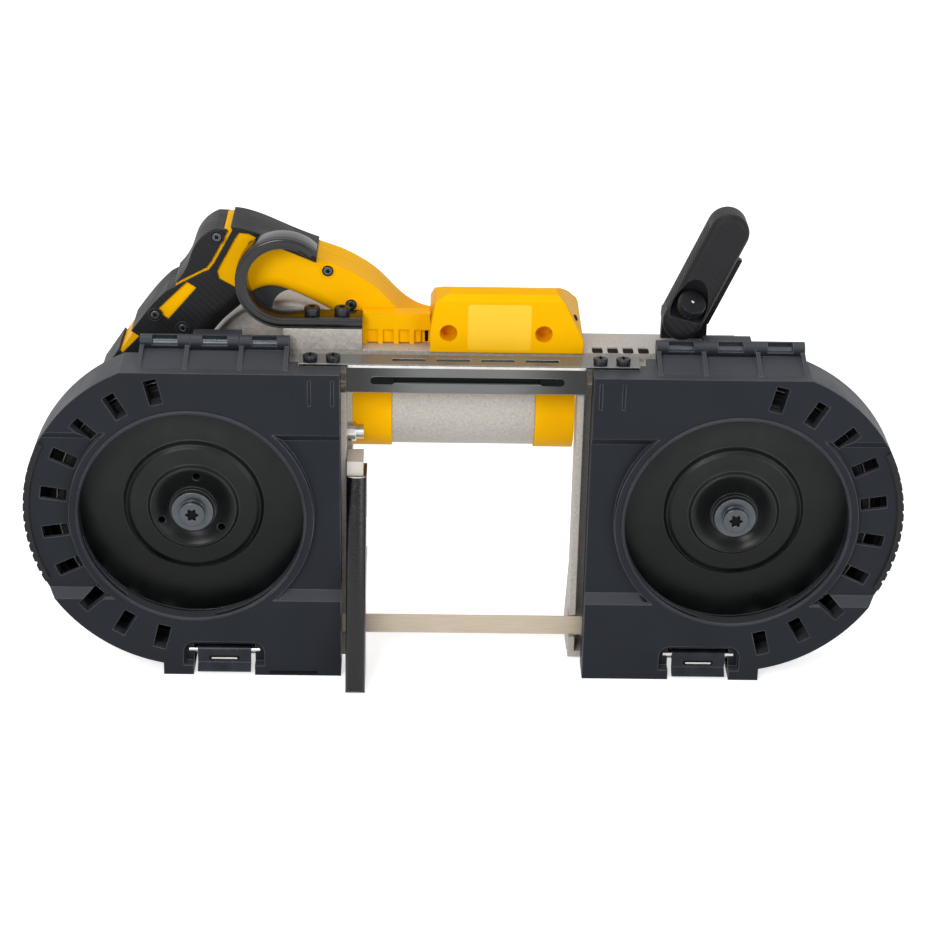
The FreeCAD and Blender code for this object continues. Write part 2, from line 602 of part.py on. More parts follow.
def build_blade():
    """An endless blade: flat over both wheels, twisted upright between the guides."""
    half = dim.wheel_spacing.number / 2
    radius = dim.wheel_radius.number + dim.seat_gap.number + dim.blade_thick.number / 2
    thick = dim.blade_thick.number
    width = dim.blade_width.number
    centre = dim.axle_height.number
    back = FreeCAD.Vector(0, width, 0)
    twist_start = half - dim.twist_start.number
    twist_end = twist_start - dim.twist_length.number

    def flat_strip(grow):
        """The open loop over both wheels, at one face of the blade."""
        reach = radius + grow
        points = [FreeCAD.Vector(-twist_start, -width / 2, centre - reach),
                  FreeCAD.Vector(-half, -width / 2, centre - reach),
                  FreeCAD.Vector(-half - reach, -width / 2, centre),
                  FreeCAD.Vector(-half, -width / 2, centre + reach),
                  FreeCAD.Vector(half, -width / 2, centre + reach),
                  FreeCAD.Vector(half + reach, -width / 2, centre),
                  FreeCAD.Vector(half, -width / 2, centre - reach),
                  FreeCAD.Vector(twist_start, -width / 2, centre - reach)]
        curves = [Part.LineSegment(*points[0:2]), Part.Arc(*points[1:4]),
                  Part.LineSegment(*points[3:5]), Part.Arc(*points[4:7]),
                  Part.LineSegment(*points[6:8])]
        return [curve.toShape() for curve in curves], points[0], points[-1]

    outer, outer_start, outer_end = flat_strip(thick / 2)
    inner, inner_start, inner_end = flat_strip(-thick / 2)
    closing = [Part.LineSegment(outer_start, inner_start).toShape(),
               Part.LineSegment(outer_end, inner_end).toShape()]
    wire = Part.Wire(Part.__sortEdges__(outer + inner + closing))
    pieces = [Part.Face(wire).extrude(back)]
    level = centre - radius
    for side in (REAR, FRONT):
        sections = []
        for step in range(TWIST_STEPS + 1):
            part = step / TWIST_STEPS
            spot = twist_start + (twist_end - twist_start) * part
            sections.append(blade_section(side * spot, level, side * math.pi / 2 * part))
        pieces.append(Part.makeLoft(sections, True, True))
    straight = Part.makeBox(twist_end * 2, thick, width,
                            FreeCAD.Vector(-twist_end, -thick / 2, level - width / 2))
    pieces.append(straight)
    finish(shaped(pieces[0].multiFuse(pieces[1:]).Solids[0]), "blade")


# Wheel guard


def radial_slots(side, start_y, end_y):
    """Ten vents spread round the outer half of a guard."""
    slots = []
    inner = dim.opening_radius + dim.ring_width + dim.slot_start_margin
    outer = dim.guard_radius - dim.bumper_thick - dim.guard_wall - dim.slot_end_margin
    for index in range(SLOT_COUNT):
        angle = dim.slot_angle.number * (index - (SLOT_COUNT - 1) / 2)
        slot = doc.addObject("Part::Box", "vent")
        bind(slot, Length=outer - inner, Width=abs(end_y - start_y), Height=dim.slot_width)
        turn = FreeCAD.Rotation(Y_AXIS, angle if side == FRONT else HALF_TURN - angle)
        slot.Placement.Rotation = turn
        corner = turn.multVec(X_AXIS), turn.multVec(Z_AXIS)
        place(slot,
              wheel_x(side) + inner * corner[0].x - dim.slot_width * (corner[1].x / 2),
              start_y,
              dim.axle_height + inner * corner[0].z - dim.slot_width * (corner[1].z / 2))
        slots.append(slot)
    return slots


def hinge_centre(side):
    return -dim.hinge_rear if side == REAR else dim.hinge_front


def hinge_thirds(side):
    """The ends of a hinge's three knuckles along X."""
    start = hinge_centre(side) - dim.hinge_length / 2
    third = dim.hinge_length / 3
    return [(start + third * index, start + third * (index + 1)) for index in range(3)]


def knuckle(ends, gap):
    low, high = ends
    return rod("x", (dim.hinge_y, dim.hinge_z), dim.knuckle_radius, (low + gap, high - gap))


def knuckle_window(ends):
    """The opening in a knuckle's front where the steel pin shows."""
    low, high = ends
    middle = (low + high) / 2
    return box((middle - dim.window_length / 2, middle + dim.window_length / 2),
               (dim.hinge_y - dim.knuckle_radius - dim.overrun, dim.hinge_y),
               (dim.hinge_z, dim.hinge_z + dim.knuckle_radius + dim.overrun))


def arc_band(side, radii, y_ends, angles):
    """Part of a ring round a wheel's axle, between two angles counted from +X towards +Z."""
    inner_radius, outer_radius = radii
    centre = (wheel_x(side), dim.axle_height)
    ring = cut(rod("y", centre, outer_radius, y_ends), rod("y", centre, inner_radius, y_ends))
    start, end = (math.radians(angle) for angle in angles)
    reach = (outer_radius + dim.overrun) / math.cos((end - start) / 2)
    wedge = extruded("XZ_Plane", [
        (as_size(0), as_size(0)),
        (reach * math.cos(start), reach * math.sin(start)),
        (reach * math.cos((start + end) / 2), reach * math.sin((start + end) / 2)),
        (reach * math.cos(end), reach * math.sin(end)),
    ], y_ends)
    place(wedge, wheel_x(side), 0, dim.axle_height)
    return common(ring, wedge)


def cover_tray(side):
    """The sloped shelf with ribs that carries a cover's two hinge knuckles."""
    back = dim.frame_front - dim.body_gap
    low = dim.guard_top - dim.guard_wall * 2
    front = dim.hinge_y - dim.tray_run
    wall_top = dim.hinge_z - dim.knuckle_radius
    thirds = hinge_thirds(side)
    shelf = extruded("YZ_Plane", [
        (front, low), (back, low), (back, frame_top() + dim.body_gap), (dim.hinge_y, wall_top),
        (dim.hinge_y, wall_top + dim.guard_wall), (front, dim.guard_top - dim.seat_gap),
    ], (thirds[0][0], thirds[2][1]))
    ribs = []
    for start, thick in ((thirds[0][0], dim.tray_rib), (thirds[0][1], -dim.tray_rib),
                         (thirds[2][0], dim.tray_rib), (thirds[2][1], -dim.tray_rib)):
        ribs.append(extruded("YZ_Plane", [
            (front, dim.guard_top - dim.guard_wall), (dim.hinge_y, wall_top),
            (dim.hinge_y, dim.hinge_z), (dim.hinge_y - dim.knuckle_radius, dim.hinge_z),
            (front, dim.guard_top + dim.seat_gap),
        ], (start, start + thick)))
    clear = rod("x", (dim.hinge_y, dim.hinge_z), dim.knuckle_radius + dim.body_gap,
                (thirds[1][0] - dim.body_gap, thirds[1][1] + dim.body_gap))
    knuckles = [knuckle(thirds[0], as_size(0)), knuckle(thirds[2], as_size(0))]
    bore = rod("x", (dim.hinge_y, dim.hinge_z), dim.pin_radius + dim.run_gap,
               (thirds[0][0] - dim.overrun, thirds[2][1] + dim.overrun))
    return cut(fuse(cut(shelf, clear), *ribs, *knuckles), bore, knuckle_window(thirds[0]),
               knuckle_window(thirds[2]))


def latch_room(side):
    """The bottom notch, the finger pocket above it and the seats of the latch pin."""
    middle = dim.notch_centre * side
    front = dim.guard_front - dim.overrun
    half = dim.notch_width / 2
    notch = box((middle - half, middle + half), (front, dim.hinge_y + dim.overrun),
                (-dim.overrun, dim.notch_height))
    half_pocket = dim.pocket_width / 2
    inner = half_pocket - dim.pocket_round
    shoulder = dim.pocket_top - dim.pocket_round
    pocket = fuse(
        box((middle - half_pocket, middle + half_pocket), (front, dim.latch_y),
            (dim.notch_height / 2, shoulder)),
        box((middle - inner, middle + inner), (front, dim.latch_y),
            (dim.notch_height / 2, dim.pocket_top)),
        *[rod("y", (middle + spot, shoulder), dim.pocket_round, (front, dim.latch_y))
          for spot in (-inner, inner)])
    ears = rod("x", (dim.latch_y, dim.latch_z), dim.latch_pin,
               (middle - half - dim.guard_wall, middle + half + dim.guard_wall))
    roll = rod("x", (dim.latch_y, dim.latch_z), dim.latch_pin + dim.latch_thick + dim.body_gap,
               (middle - half, middle + half))
    return [notch, pocket, ears, roll]


def guard_cover(side):
    """One wheel cover: a skirted tray with a recessed middle band and a wheel opening."""
    front, skirt = dim.guard_front, dim.hinge_y
    back = dim.frame_front - dim.body_gap
    centre = (wheel_x(side), dim.axle_height)
    floor = front + dim.band_depth + dim.guard_wall
    outer = lobe(side, dim.guard_radius, dim.guard_inner, dim.guard_top, as_size(0), dim.foot_reach,
                 (front, skirt))
    inner = lobe(side, dim.guard_radius - dim.guard_wall - dim.bumper_thick,
                 dim.guard_inner + dim.guard_wall, dim.guard_top - dim.guard_wall,
                 dim.guard_wall, dim.foot_reach - dim.guard_wall, (floor, skirt + dim.overrun))
    skirt_end = box(((dim.guard_inner - dim.overrun) * side, dim.skirt_inner * side),
                    (back, skirt + dim.overrun), (-dim.overrun, dim.guard_top + dim.overrun))
    reach = wheel_x(side) + (dim.guard_radius + dim.overrun) * side
    band = extruded("YZ_Plane", [
        (front - dim.overrun, dim.band_low - dim.overrun),
        (front + dim.band_depth, dim.band_low + dim.band_depth),
        (front + dim.band_depth, dim.band_high - dim.band_depth),
        (front - dim.overrun, dim.band_high + dim.overrun),
    ], ((dim.guard_inner - dim.overrun) * side, reach))
    ring = rod("y", centre, dim.opening_radius + dim.ring_width, (front, floor))
    tab = box((rail_end(side), dim.guard_inner * side), (front + dim.band_depth, back),
              (dim.guard_top - dim.screw_reach - dim.guard_wall, dim.guard_top))
    solid = fuse(cut(outer, inner, skirt_end, band), ring, tab, cover_tray(side))
    opening = rod("y", centre, dim.opening_radius, (front - dim.overrun, back))
    lip_front = front + dim.guard_wall / 2
    windows = [arc_band(side, (dim.opening_radius - dim.overrun,
                               dim.opening_radius + dim.ring_width + dim.guard_wall),
                        (lip_front, lip_front + dim.lip_window), angles)
               for angles in LIP_WINDOW_ANGLES[side]]
    holes = []
    for x in rail_screw_places(side):
        holes.append(rod("z", (x, rail_screw_y()), dim.screw_shank,
                         (dim.guard_top - dim.screw_reach, dim.guard_top + dim.overrun)))
        holes.append(box((x - dim.groove_width / 2, x + dim.groove_width / 2),
                         (front - dim.overrun, front + dim.groove_depth),
                         (dim.guard_top - dim.overrun - dim.groove_length,
                          dim.guard_top - dim.overrun)))
    return cut(solid, opening, bumper_ring(side, dim.body_gap), *windows, *latch_room(side), *holes,
               *radial_slots(side, front - dim.overrun, floor + dim.overrun), *blade_passes())


def bumper_ring(side, grow):
    """The arc of rubber let into the guard's outer edge."""
    half = dim.bumper_angle.number / 2
    middle = 0 if side == FRONT else HALF_TURN
    return arc_band(side, (dim.guard_radius - dim.bumper_thick, dim.guard_radius + grow),
                    (dim.bumper_front, dim.frame_front - dim.body_gap), (middle - half, middle + half))


def build_guard():
    bumpers, pins, brackets = [], [], []
    for side, name in ((REAR, "rear"), (FRONT, "front")):
        finish(guard_cover(side), f"{name}_wheel_cover")
        ring = bumper_ring(side, as_size(0))
        teeth = []
        count = int(dim.bumper_angle.number / dim.tooth_angle.number / 2)
        for index in range(-count, count + 1):
            angle = math.radians(dim.tooth_angle.number * index)
            spot = (wheel_x(side) + dim.guard_radius * (side * math.cos(angle)),
                    dim.axle_height + dim.guard_radius * math.sin(angle))
            teeth.append(rod("y", spot, dim.tooth_radius,
                             (dim.bumper_front - dim.overrun, dim.frame_front + dim.overrun)))
        bumpers.append(cut(ring, *teeth))
        thirds = hinge_thirds(side)
        pin = rod("x", (dim.hinge_y, dim.hinge_z), dim.pin_radius, (thirds[0][0], thirds[2][1]))
        pins.append(pin)
        middle = knuckle(thirds[1], dim.seat_gap)
        low, high = thirds[1]
        leaf = box((low + dim.seat_gap, high - dim.seat_gap),
                   (dim.hinge_y, dim.hinge_y + dim.leaf_run), (dim.pad_top, dim.hinge_z))
        bore = rod("x", (dim.hinge_y, dim.hinge_z), dim.pin_radius,
                   (low - dim.overrun, high + dim.overrun))
        brackets.append(cut(fuse(middle, leaf), bore, knuckle_window(thirds[1])))
    finish(group(*bumpers), "guard_bumpers")
    finish(group(*pins), "hinge_pins")
    finish(group(*brackets), "hinge_brackets")


def rail_end(side):
    return -dim.rail_rear if side == REAR else dim.rail_ahead


def rail_screw_y():
    return dim.rail_front + dim.screw_radius + dim.body_gap


def rail_screw_places(side):
    inner = (dim.guard_inner + dim.screw_radius + dim.seat_gap) * side
    return [inner, inner + dim.screw_pitch * side]


def build_rail():
    """An angle that covers the upper run: slotted top flange and grooved front face."""
    flange_back = dim.rail_front + dim.rail_depth
    slot_y = dim.rail_front + dim.rail_depth / 2
    flange = box((-dim.rail_rear, dim.rail_ahead), (dim.rail_front, flange_back),
                 (dim.guard_top, dim.guard_top + dim.rail_thick))
    face = box((-dim.rail_face_rear, dim.rail_face_rear),
               (dim.rail_front, dim.rail_front + dim.rail_thick),
               (dim.rail_bottom, dim.guard_top + dim.rail_thick))
    slots = []
    for index in range(4):
        middle = dim.rail_slot_start + dim.rail_slot_pitch * index
        slots.append(box((middle - dim.rail_slot / 2, middle + dim.rail_slot / 2),
                         (slot_y - dim.rail_slot_width / 2, slot_y + dim.rail_slot_width / 2),
                         (dim.guard_top - dim.overrun, dim.guard_top + dim.overrun)))
    mid_z = (dim.rail_bottom + dim.guard_top) / 2
    groove = box((-dim.rail_groove / 2, dim.rail_groove / 2),
                 (dim.rail_front - dim.overrun, dim.rail_front + dim.overrun),
                 (mid_z - dim.rail_groove_width / 2, mid_z + dim.rail_groove_width / 2))
    holes = []
    screws = []
    for side in (REAR, FRONT):
        for x in rail_screw_places(side):
            spot = (x, rail_screw_y())
            seat = dim.guard_top + dim.rail_thick
            holes.append(rod("z", spot, dim.screw_shank,
                             (dim.guard_top - dim.overrun, seat + dim.overrun)))
            head = rod("z", spot, dim.screw_radius, (seat, seat + dim.screw_head))
            shank = rod("z", spot, dim.screw_shank, (dim.guard_top - dim.screw_reach, seat))
            screws.append(fuse(head, shank))
    finish(cut(fuse(flange, face), groove, *slots, *holes), "blade_rail")
    finish(group(*screws), "rail_screws")


def build_latches():
    """Sheet-steel latches that hang on a pin in each cover's bottom notch."""
    roll = dim.latch_pin + dim.latch_thick
    pins = []
    for side, name in ((REAR, "rear"), (FRONT, "front")):
        middle = dim.notch_centre * side
        ends = (middle - dim.latch_width / 2, middle + dim.latch_width / 2)
        curl = rod("x", (dim.latch_y, dim.latch_z), roll, ends)
        front = dim.latch_y - roll
        low = dim.latch_z - dim.latch_drop
        plate = extruded("YZ_Plane", [
            (front, dim.latch_z), (front, low + dim.latch_lip), (front - dim.latch_lip, low),
            (front - dim.latch_lip + dim.latch_thick, low),
            (front + dim.latch_thick, low + dim.latch_lip - dim.latch_thick),
            (front + dim.latch_thick, dim.latch_z),
        ], ends)
        bore = rod("x", (dim.latch_y, dim.latch_z), dim.latch_pin + dim.run_gap,
                   (ends[0] - dim.overrun, ends[1] + dim.overrun))
        finish(cut(fuse(curl, plate), bore), f"{name}_latch")
        half = dim.notch_width / 2 + dim.guard_wall
        pin = rod("x", (dim.latch_y, dim.latch_z), dim.latch_pin, (middle - half, middle + half))
        pins.append(pin)
    finish(group(*pins), "latch_pins")


# Blade guides and work stop


def build_guides():
    """A block above the blade at each end of the throat, with a roller on each side of it."""
    level = dim.axle_height - dim.wheel_radius - dim.seat_gap - dim.blade_thick / 2
    roller_low = level - dim.roller_height / 2
    block_low = level + dim.blade_width / 2 + dim.body_gap
    offset = dim.blade_thick / 2 + dim.seat_gap + dim.roller_radius
    for side, name in ((REAR, "rear"), (FRONT, "front")):
        middle = dim.guide_place * side
        ends = (middle - dim.guide_length / 2, middle + dim.guide_length / 2)
        bar = box(ends, (-dim.guide_reach, dim.frame_back - dim.frame_plate),
                  (block_low, block_low + dim.guide_block))
        pins = []
        for y in (-offset, offset):
            pins.append(rod("z", (middle, y), dim.roller_bore,
                            (roller_low, block_low + dim.seat_gap)))
        finish(fuse(bar, *pins), f"{name}_guide_block")
        for y, place_name in ((-offset, "outer"), (offset, "inner")):
            wheel = rod("z", (middle, y), dim.roller_radius,
                        (roller_low, roller_low + dim.roller_height))
            bore = rod("z", (middle, y), dim.roller_bore + dim.run_gap,
                       (roller_low - dim.overrun, roller_low + dim.roller_height + dim.overrun))
            finish(cut(wheel, bore), f"{name}_{place_name}_roller")


def stop_bolt_y():
    return (dim.stop_back + dim.frame_front) / 2 + dim.seat_gap


def build_work_stop():
    """A plate beside the blade that the work rests against, slotted for its clamp bolt."""
    start = -dim.throat_rear + dim.body_gap
    ends = (start, start + dim.stop_thick)
    strip_back = dim.stop_front + dim.stop_strip
    plate = extruded("YZ_Plane", [
        (dim.stop_front, dim.stop_bottom), (strip_back, dim.stop_bottom),
        (strip_back, dim.stop_step), (dim.stop_back, dim.stop_step + dim.stop_strip / 2),
        (dim.stop_back, dim.stop_top), (dim.stop_head, dim.stop_top),
    ], ends)
    tang = box((start, start + dim.stop_tang), (dim.stop_head, dim.stop_back),
               (dim.stop_top - dim.seat_gap, dim.stop_top + dim.stop_tang_height))
    y = stop_bolt_y()
    face = ends[1] - dim.bolt_head - dim.body_gap
    tools = []
    for radius, across in ((dim.bolt_radius, (ends[0] - dim.overrun, face)),
                           (dim.bolt_head_radius, (face, ends[1] + dim.overrun))):
        room = radius + dim.body_gap
        low = dim.stop_bolt_z - dim.stop_travel
        tools += [box(across, (y - room, y + room), (low, dim.stop_bolt_z)),
                  rod("x", (y, low), room, across), rod("x", (y, dim.stop_bolt_z), room, across)]
    finish(cut(fuse(plate, tang), *tools), "work_stop")
    head = rod("x", (y, dim.stop_bolt_z), dim.bolt_head_radius,
               (face + dim.body_gap, face + dim.body_gap + dim.bolt_head))
    shank = rod("x", (y, dim.stop_bolt_z), dim.bolt_radius,
                (-dim.throat_rear - dim.frame_wall, face + dim.body_gap))
    finish(fuse(head, shank), "work_stop_bolt")


# Motor and gears


def toothed_wire(teeth, module, flanks, depths):
    """The outline of a gear with straight-flanked teeth, the first of them on the X axis."""
    pitch = 2 * math.pi / teeth
    root = module * (teeth / 2 - depths[0])
    tip = module * (teeth / 2 + depths[1])
    points = []
    for index in range(teeth):
        for radius, share in zip((root, tip, tip, root), flanks):
            angle = (index + share) * pitch
            points.append(FreeCAD.Vector(radius * math.cos(angle), radius * math.sin(angle), 0))
    return Part.makePolygon(points + points[:1])


def spur_gear(teeth, module, width, bore):
    face = Part.Face(toothed_wire(teeth, module, FLANK_SHARES, DEPTH_SHARES))
    return face.extrude(FreeCAD.Vector(0, 0, width)).cut(Part.makeCylinder(bore, width))


def bevel_gear(teeth, module, apex_height, bore):
    """A gear whose teeth taper towards the point where the two shafts cross."""
    large = toothed_wire(teeth, module, BEVEL_FLANK_SHARES, BEVEL_DEPTH_SHARES)
    small = large.copy()
    small.scale(1 - BEVEL_FACE_SHARE, FreeCAD.Vector(0, 0, apex_height))
    return Part.makeLoft([large, small], True, True).cut(Part.makeCylinder(bore, apex_height))


def laid(shape, axis, spot, turn=0.0):
    """Lays a shape drawn along Z on another axis at a place, after a turn about itself."""
    turned_shape = shape.copy()
    turned_shape.Placement = FreeCAD.Placement(
        spot, TURNS[axis].multiply(FreeCAD.Rotation(Z_AXIS, turn)))
    return shaped(turned_shape)


def cross_shaft_x():
    """The cross shaft stands where its pinion meshes with the gear on the drive axle."""
    return wheel_x(REAR).number + dim.cross_offset.number


def build_gears():
    """Bevel pair from the motor shaft to the cross shaft, then a spur pair to the drive axle."""
    module = dim.gear_module.number
    width = dim.gear_width.number
    back = dim.gear_back.number
    rear_x = wheel_x(REAR).number
    cross_x = cross_shaft_x()
    low, high, middle_y = dim.axle_height.number, dim.motor_z.number, dim.motor_y.number
    slope = math.degrees(math.atan2(high - low, cross_x - rear_x))
    gear = spur_gear(GEAR_TEETH, module, width, dim.axle_radius.number)
    half_tooth = HALF_TURN / GEAR_TEETH
    finish(laid(gear, "y", FreeCAD.Vector(rear_x, back, low), half_tooth - slope), "drive_gear")
    pinion = spur_gear(PINION_TEETH, module, width, dim.shaft_radius.number)
    finish(laid(pinion, "y", FreeCAD.Vector(cross_x, back, high), HALF_TURN - slope), "cross_pinion")
    shaft_radius = dim.shaft_radius.number
    bevel = dim.bevel_module.number
    large = bevel_gear(BEVEL_TEETH, bevel, bevel * BEVEL_PINION_TEETH / 2, shaft_radius)
    large_y = middle_y - bevel * BEVEL_PINION_TEETH / 2
    finish(laid(large, "y", FreeCAD.Vector(cross_x, large_y, high)), "bevel_gear")
    small = bevel_gear(BEVEL_PINION_TEETH, bevel, bevel * BEVEL_TEETH / 2, shaft_radius)
    small_x = cross_x + bevel * BEVEL_TEETH / 2
    finish(laid(small, "-x", FreeCAD.Vector(small_x, middle_y, high)), "bevel_pinion")
    case_floor = dim.case_back.number - dim.case_wall.number
    shaft_start = dim.frame_back.number + dim.seat_gap.number
    shaft = Part.makeCylinder(shaft_radius, case_floor - dim.seat_gap.number - shaft_start)
    finish(laid(shaft, "y", FreeCAD.Vector(cross_x, shaft_start, high)), "cross_shaft")
    bearing_width = dim.motor_bearing_width.number
    rings = []
    for y in (dim.frame_back.number, case_floor - bearing_width):
        ring = Part.makeCylinder(dim.motor_bearing_radius.number, bearing_width - dim.seat_gap.number)
        hole = Part.makeCylinder(dim.shaft_radius.number + dim.run_gap.number, bearing_width)
        rings.append(laid(ring.cut(hole), "y", FreeCAD.Vector(cross_x, y, high)))
    finish(group(*rings), "cross_bearings")


def case_room(wall, front, floor_gap):
    """The space of the gear case, drawn in by a wall: a round lobe below, a block above."""
    lobe_room = rod("y", (wheel_x(REAR), dim.axle_height), dim.case_lobe - wall,
                    (front, dim.case_lobe_back - floor_gap))
    low, top, back = dim.case_low + wall, dim.case_top - wall, dim.case_back - floor_gap
    ends = (-dim.case_rear + wall, -motor_end(REAR) - wall)
    side_view = extruded("YZ_Plane", [
        (front, low), (back - dim.case_bevel, low), (back, low + dim.case_bevel),
        (back, top - dim.case_bevel), (back - dim.case_bevel, top), (front, top),
    ], ends)
    front_view = extruded("XZ_Plane", [
        (ends[0], low), (ends[1], low), (ends[1], top), (ends[0] + dim.case_slope_run, top),
        (ends[0], top - dim.case_slope_rise),
    ], (front, back))
    return fuse(lobe_room, common(side_view, front_view))


def build_gear_case():
    outer = case_room(as_size(0), dim.frame_back, as_size(0))
    inner = case_room(dim.case_wall, dim.frame_back - dim.overrun, dim.case_wall)
    shaft_hole = rod("x", (dim.motor_y, dim.motor_z), dim.motor_bearing_radius,
                     (-motor_end(REAR) - dim.case_wall - dim.overrun, -motor_end(REAR) + dim.overrun))
    finish(cut(outer, inner, shaft_hole), "gear_case")


def motor_end(side):
    return (dim.sleeve_rear if side == REAR else dim.sleeve_front) + dim.cap_length


def along_motor(points, side):
    """A piece turned about the motor shaft; its places along X are given outwards."""
    body = turned([(radius, spot * side) for radius, spot in points], "x")
    place(body, 0, dim.motor_y, dim.motor_z)
    return body


def build_motor():
    bore = dim.motor_radius - dim.motor_wall
    y, z = dim.motor_y, dim.motor_z
    ends = (-dim.sleeve_rear, dim.sleeve_front)
    past = (ends[0] - dim.overrun, ends[1] + dim.overrun)
    finish(cut(rod("x", (y, z), dim.motor_radius, ends), rod("x", (y, z), bore, past)), "motor_sleeve")
    half_stack = dim.stator_length / 2
    stack = (-half_stack, half_stack)
    core = rod("x", (y, z), dim.rotor_radius + dim.air_gap, past)
    finish(cut(rod("x", (y, z), bore, stack), core), "motor_stator")
    half_rotor = dim.rotor_length / 2
    pitch_radius = dim.bevel_module.number * BEVEL_TEETH / 2
    shaft_end = as_size(cross_shaft_x() + pitch_radius * (1 - BEVEL_FACE_SHARE))
    front_end = motor_end(FRONT) - dim.motor_wall
    finish(cut(rod("x", (y, z), dim.rotor_radius, (-half_rotor, half_rotor)),
               rod("x", (y, z), dim.shaft_radius, past)), "motor_rotor")
    finish(group(rod("x", (y, z), dim.shaft_radius, (shaft_end, front_end))), "motor_shaft")
    bearings = []
    for side, name in ((REAR, "rear"), (FRONT, "front")):
        end = motor_end(side)
        start = end - dim.cap_length
        seat = end - dim.motor_bearing_width
        outer, ring = dim.motor_radius + dim.motor_wall / 2, dim.motor_bearing_radius
        cap = [(ring, end), (outer, end), (outer, start), (bore, start),
               (bore, end - dim.motor_wall), (ring + dim.motor_wall, end - dim.motor_wall),
               (ring + dim.motor_wall, seat), (ring, seat)]
        if side == FRONT:
            cap = [(as_size(0), end), (outer, end), (outer, start), (bore, start),
                   (bore, end - dim.motor_wall), (ring + dim.motor_wall, end - dim.motor_wall),
                   (ring + dim.motor_wall, seat - dim.motor_wall), (ring, seat - dim.motor_wall),
                   (ring, end - dim.motor_wall), (as_size(0), end - dim.motor_wall)]
        finish(group(along_motor(cap, side)), f"motor_cap_{name}")
        inside = end if side == REAR else end - dim.motor_wall
        hole = dim.shaft_radius + dim.run_gap
        inner = inside - dim.motor_bearing_width
        bearings.append(along_motor([(hole, inside), (ring, inside), (ring, inner), (hole, inner)],
                                    side))
    finish(group(*bearings), "motor_bearings")


def build_motor_cover():
    """The moulded cover over the controller, with a ribbed saddle towards the handle."""
    low, top = dim.pad_top, dim.cover_top
    lean, soft, edge = dim.cover_lean, dim.cover_round, dim.cover_edge
    front, back, rear = dim.cover_front, dim.cover_back, dim.cover_rear
    outline = extruded("XZ_Plane", [
        (-rear, low), (dim.cover_ahead, low), (dim.cover_ahead, low + lean / 2),
        (dim.cover_ahead - lean / 4, low + lean), (dim.cover_ahead - lean + edge, top - edge),
        (dim.cover_ahead - lean, top), (soft - rear, top), (soft / 4 - rear, top - soft / 2),
        (-rear, top - soft * 2),
    ], (front, back))
    crown = extruded("YZ_Plane", [
        (front, low), (front, top - edge), (front + edge / 2, top - edge / 4),
        (front + edge * 2, top), (dim.cover_crest, top - edge / 2),
        ((dim.cover_crest + back) / 2, (top + dim.cover_back_top) * CREST_SHARE),
        (back, dim.cover_back_top), (back, low),
    ], (-rear - dim.overrun, dim.cover_ahead + dim.overrun))
    hood = common(outline, crown)
    beam_low = dim.saddle_top - dim.beam_thick
    beam = box((-dim.saddle_rear, -rear), (dim.saddle_front, handle_front()), (beam_low, dim.saddle_top))
    wall = box((-dim.saddle_rear, -rear), (dim.saddle_wall, handle_front()), (low, beam_low))
    ribs = []
    for index in range(4):
        start = -dim.saddle_rear + dim.saddle_rib_pitch * index
        ribs.append(box((start, start + dim.saddle_rib), (dim.saddle_front, dim.saddle_wall),
                        (low, beam_low)))
    recesses = [rod("y", (x, low + dim.cover_lean * SCREW_RISE_SHARE), dim.cover_screw,
                    (front - dim.overrun, front + dim.cover_screw_depth))
                for x in (-rear / 2, dim.cover_ahead * SCREW_PLACE_SHARE)]
    finish(cut(fuse(hood, beam, wall, *ribs), *recesses), "motor_cover")


# Main handle


def handle_y():
    """The middle of the handle, set so that the battery dock clears the casting."""
    return dim.frame_back + dim.dock_clear + dim.dock_width / 2


def handle_front():
    return handle_y() - dim.handle_width / 2


def handle_point(x_share, z_share):
    """A point of the handle's outline, in shares of its length and height."""
    left, right = dim.handle_left.number, dim.handle_right.number
    low, high = dim.handle_low.number, dim.handle_high.number
    return FreeCAD.Vector(left + (right - left) * x_share, 0, low + (high - low) * z_share)


def curve_through(points):
    curve = Part.BSplineCurve()
    curve.interpolate(points)
    return curve.toShape()


def grown_line(shares, grow):
    """Points of the outline moved outwards, which is to the left of their order."""
    points = [handle_point(*share) for share in shares]
    shifted = []
    for index, point in enumerate(points):
        before = points[max(index - 1, 0)]
        after = points[min(index + 1, len(points) - 1)]
        along = (after - before).normalize()
        shifted.append(point + FreeCAD.Vector(-along.z, 0, along.x) * grow)
    return shifted


def handle_solid(grow):
    """The handle's full moulded form, grown outwards for the rubber skin."""
    back_line = grown_line(HANDLE_BACK_SHARES, grow)
    belly_line = grown_line(HANDLE_BELLY_SHARES, grow)
    foot = [handle_point(*share) for share in HANDLE_FOOT_SHARES]
    edges = [curve_through(back_line), Part.makeLine(back_line[-1], foot[0]),
             Part.makeLine(foot[0], foot[1]), Part.makeLine(foot[1], belly_line[0]),
             curve_through(belly_line), Part.makeLine(belly_line[-1], back_line[0])]
    width = dim.handle_width.number + 2 * grow
    solid = Part.Face(Part.Wire(edges)).extrude(FreeCAD.Vector(0, width, 0))
    solid.translate(FreeCAD.Vector(0, handle_y().number - width / 2, 0))
    return solid


def rounded_handle(grow):
    solid = handle_solid(grow)
    middle = handle_y().number
    limit = dim.handle_right.number - dim.overrun.number
    rims = [edge for edge in solid.Edges
            if abs(edge.BoundBox.YMax - edge.BoundBox.YMin) < dim.run_gap.number
            and edge.BoundBox.XMax < limit and edge.BoundBox.ZMax > dim.pad_top.number + grow
            and abs(edge.BoundBox.YMax - middle) > dim.run_gap.number]
    return solid.makeFillet(dim.handle_round.number + grow, rims)


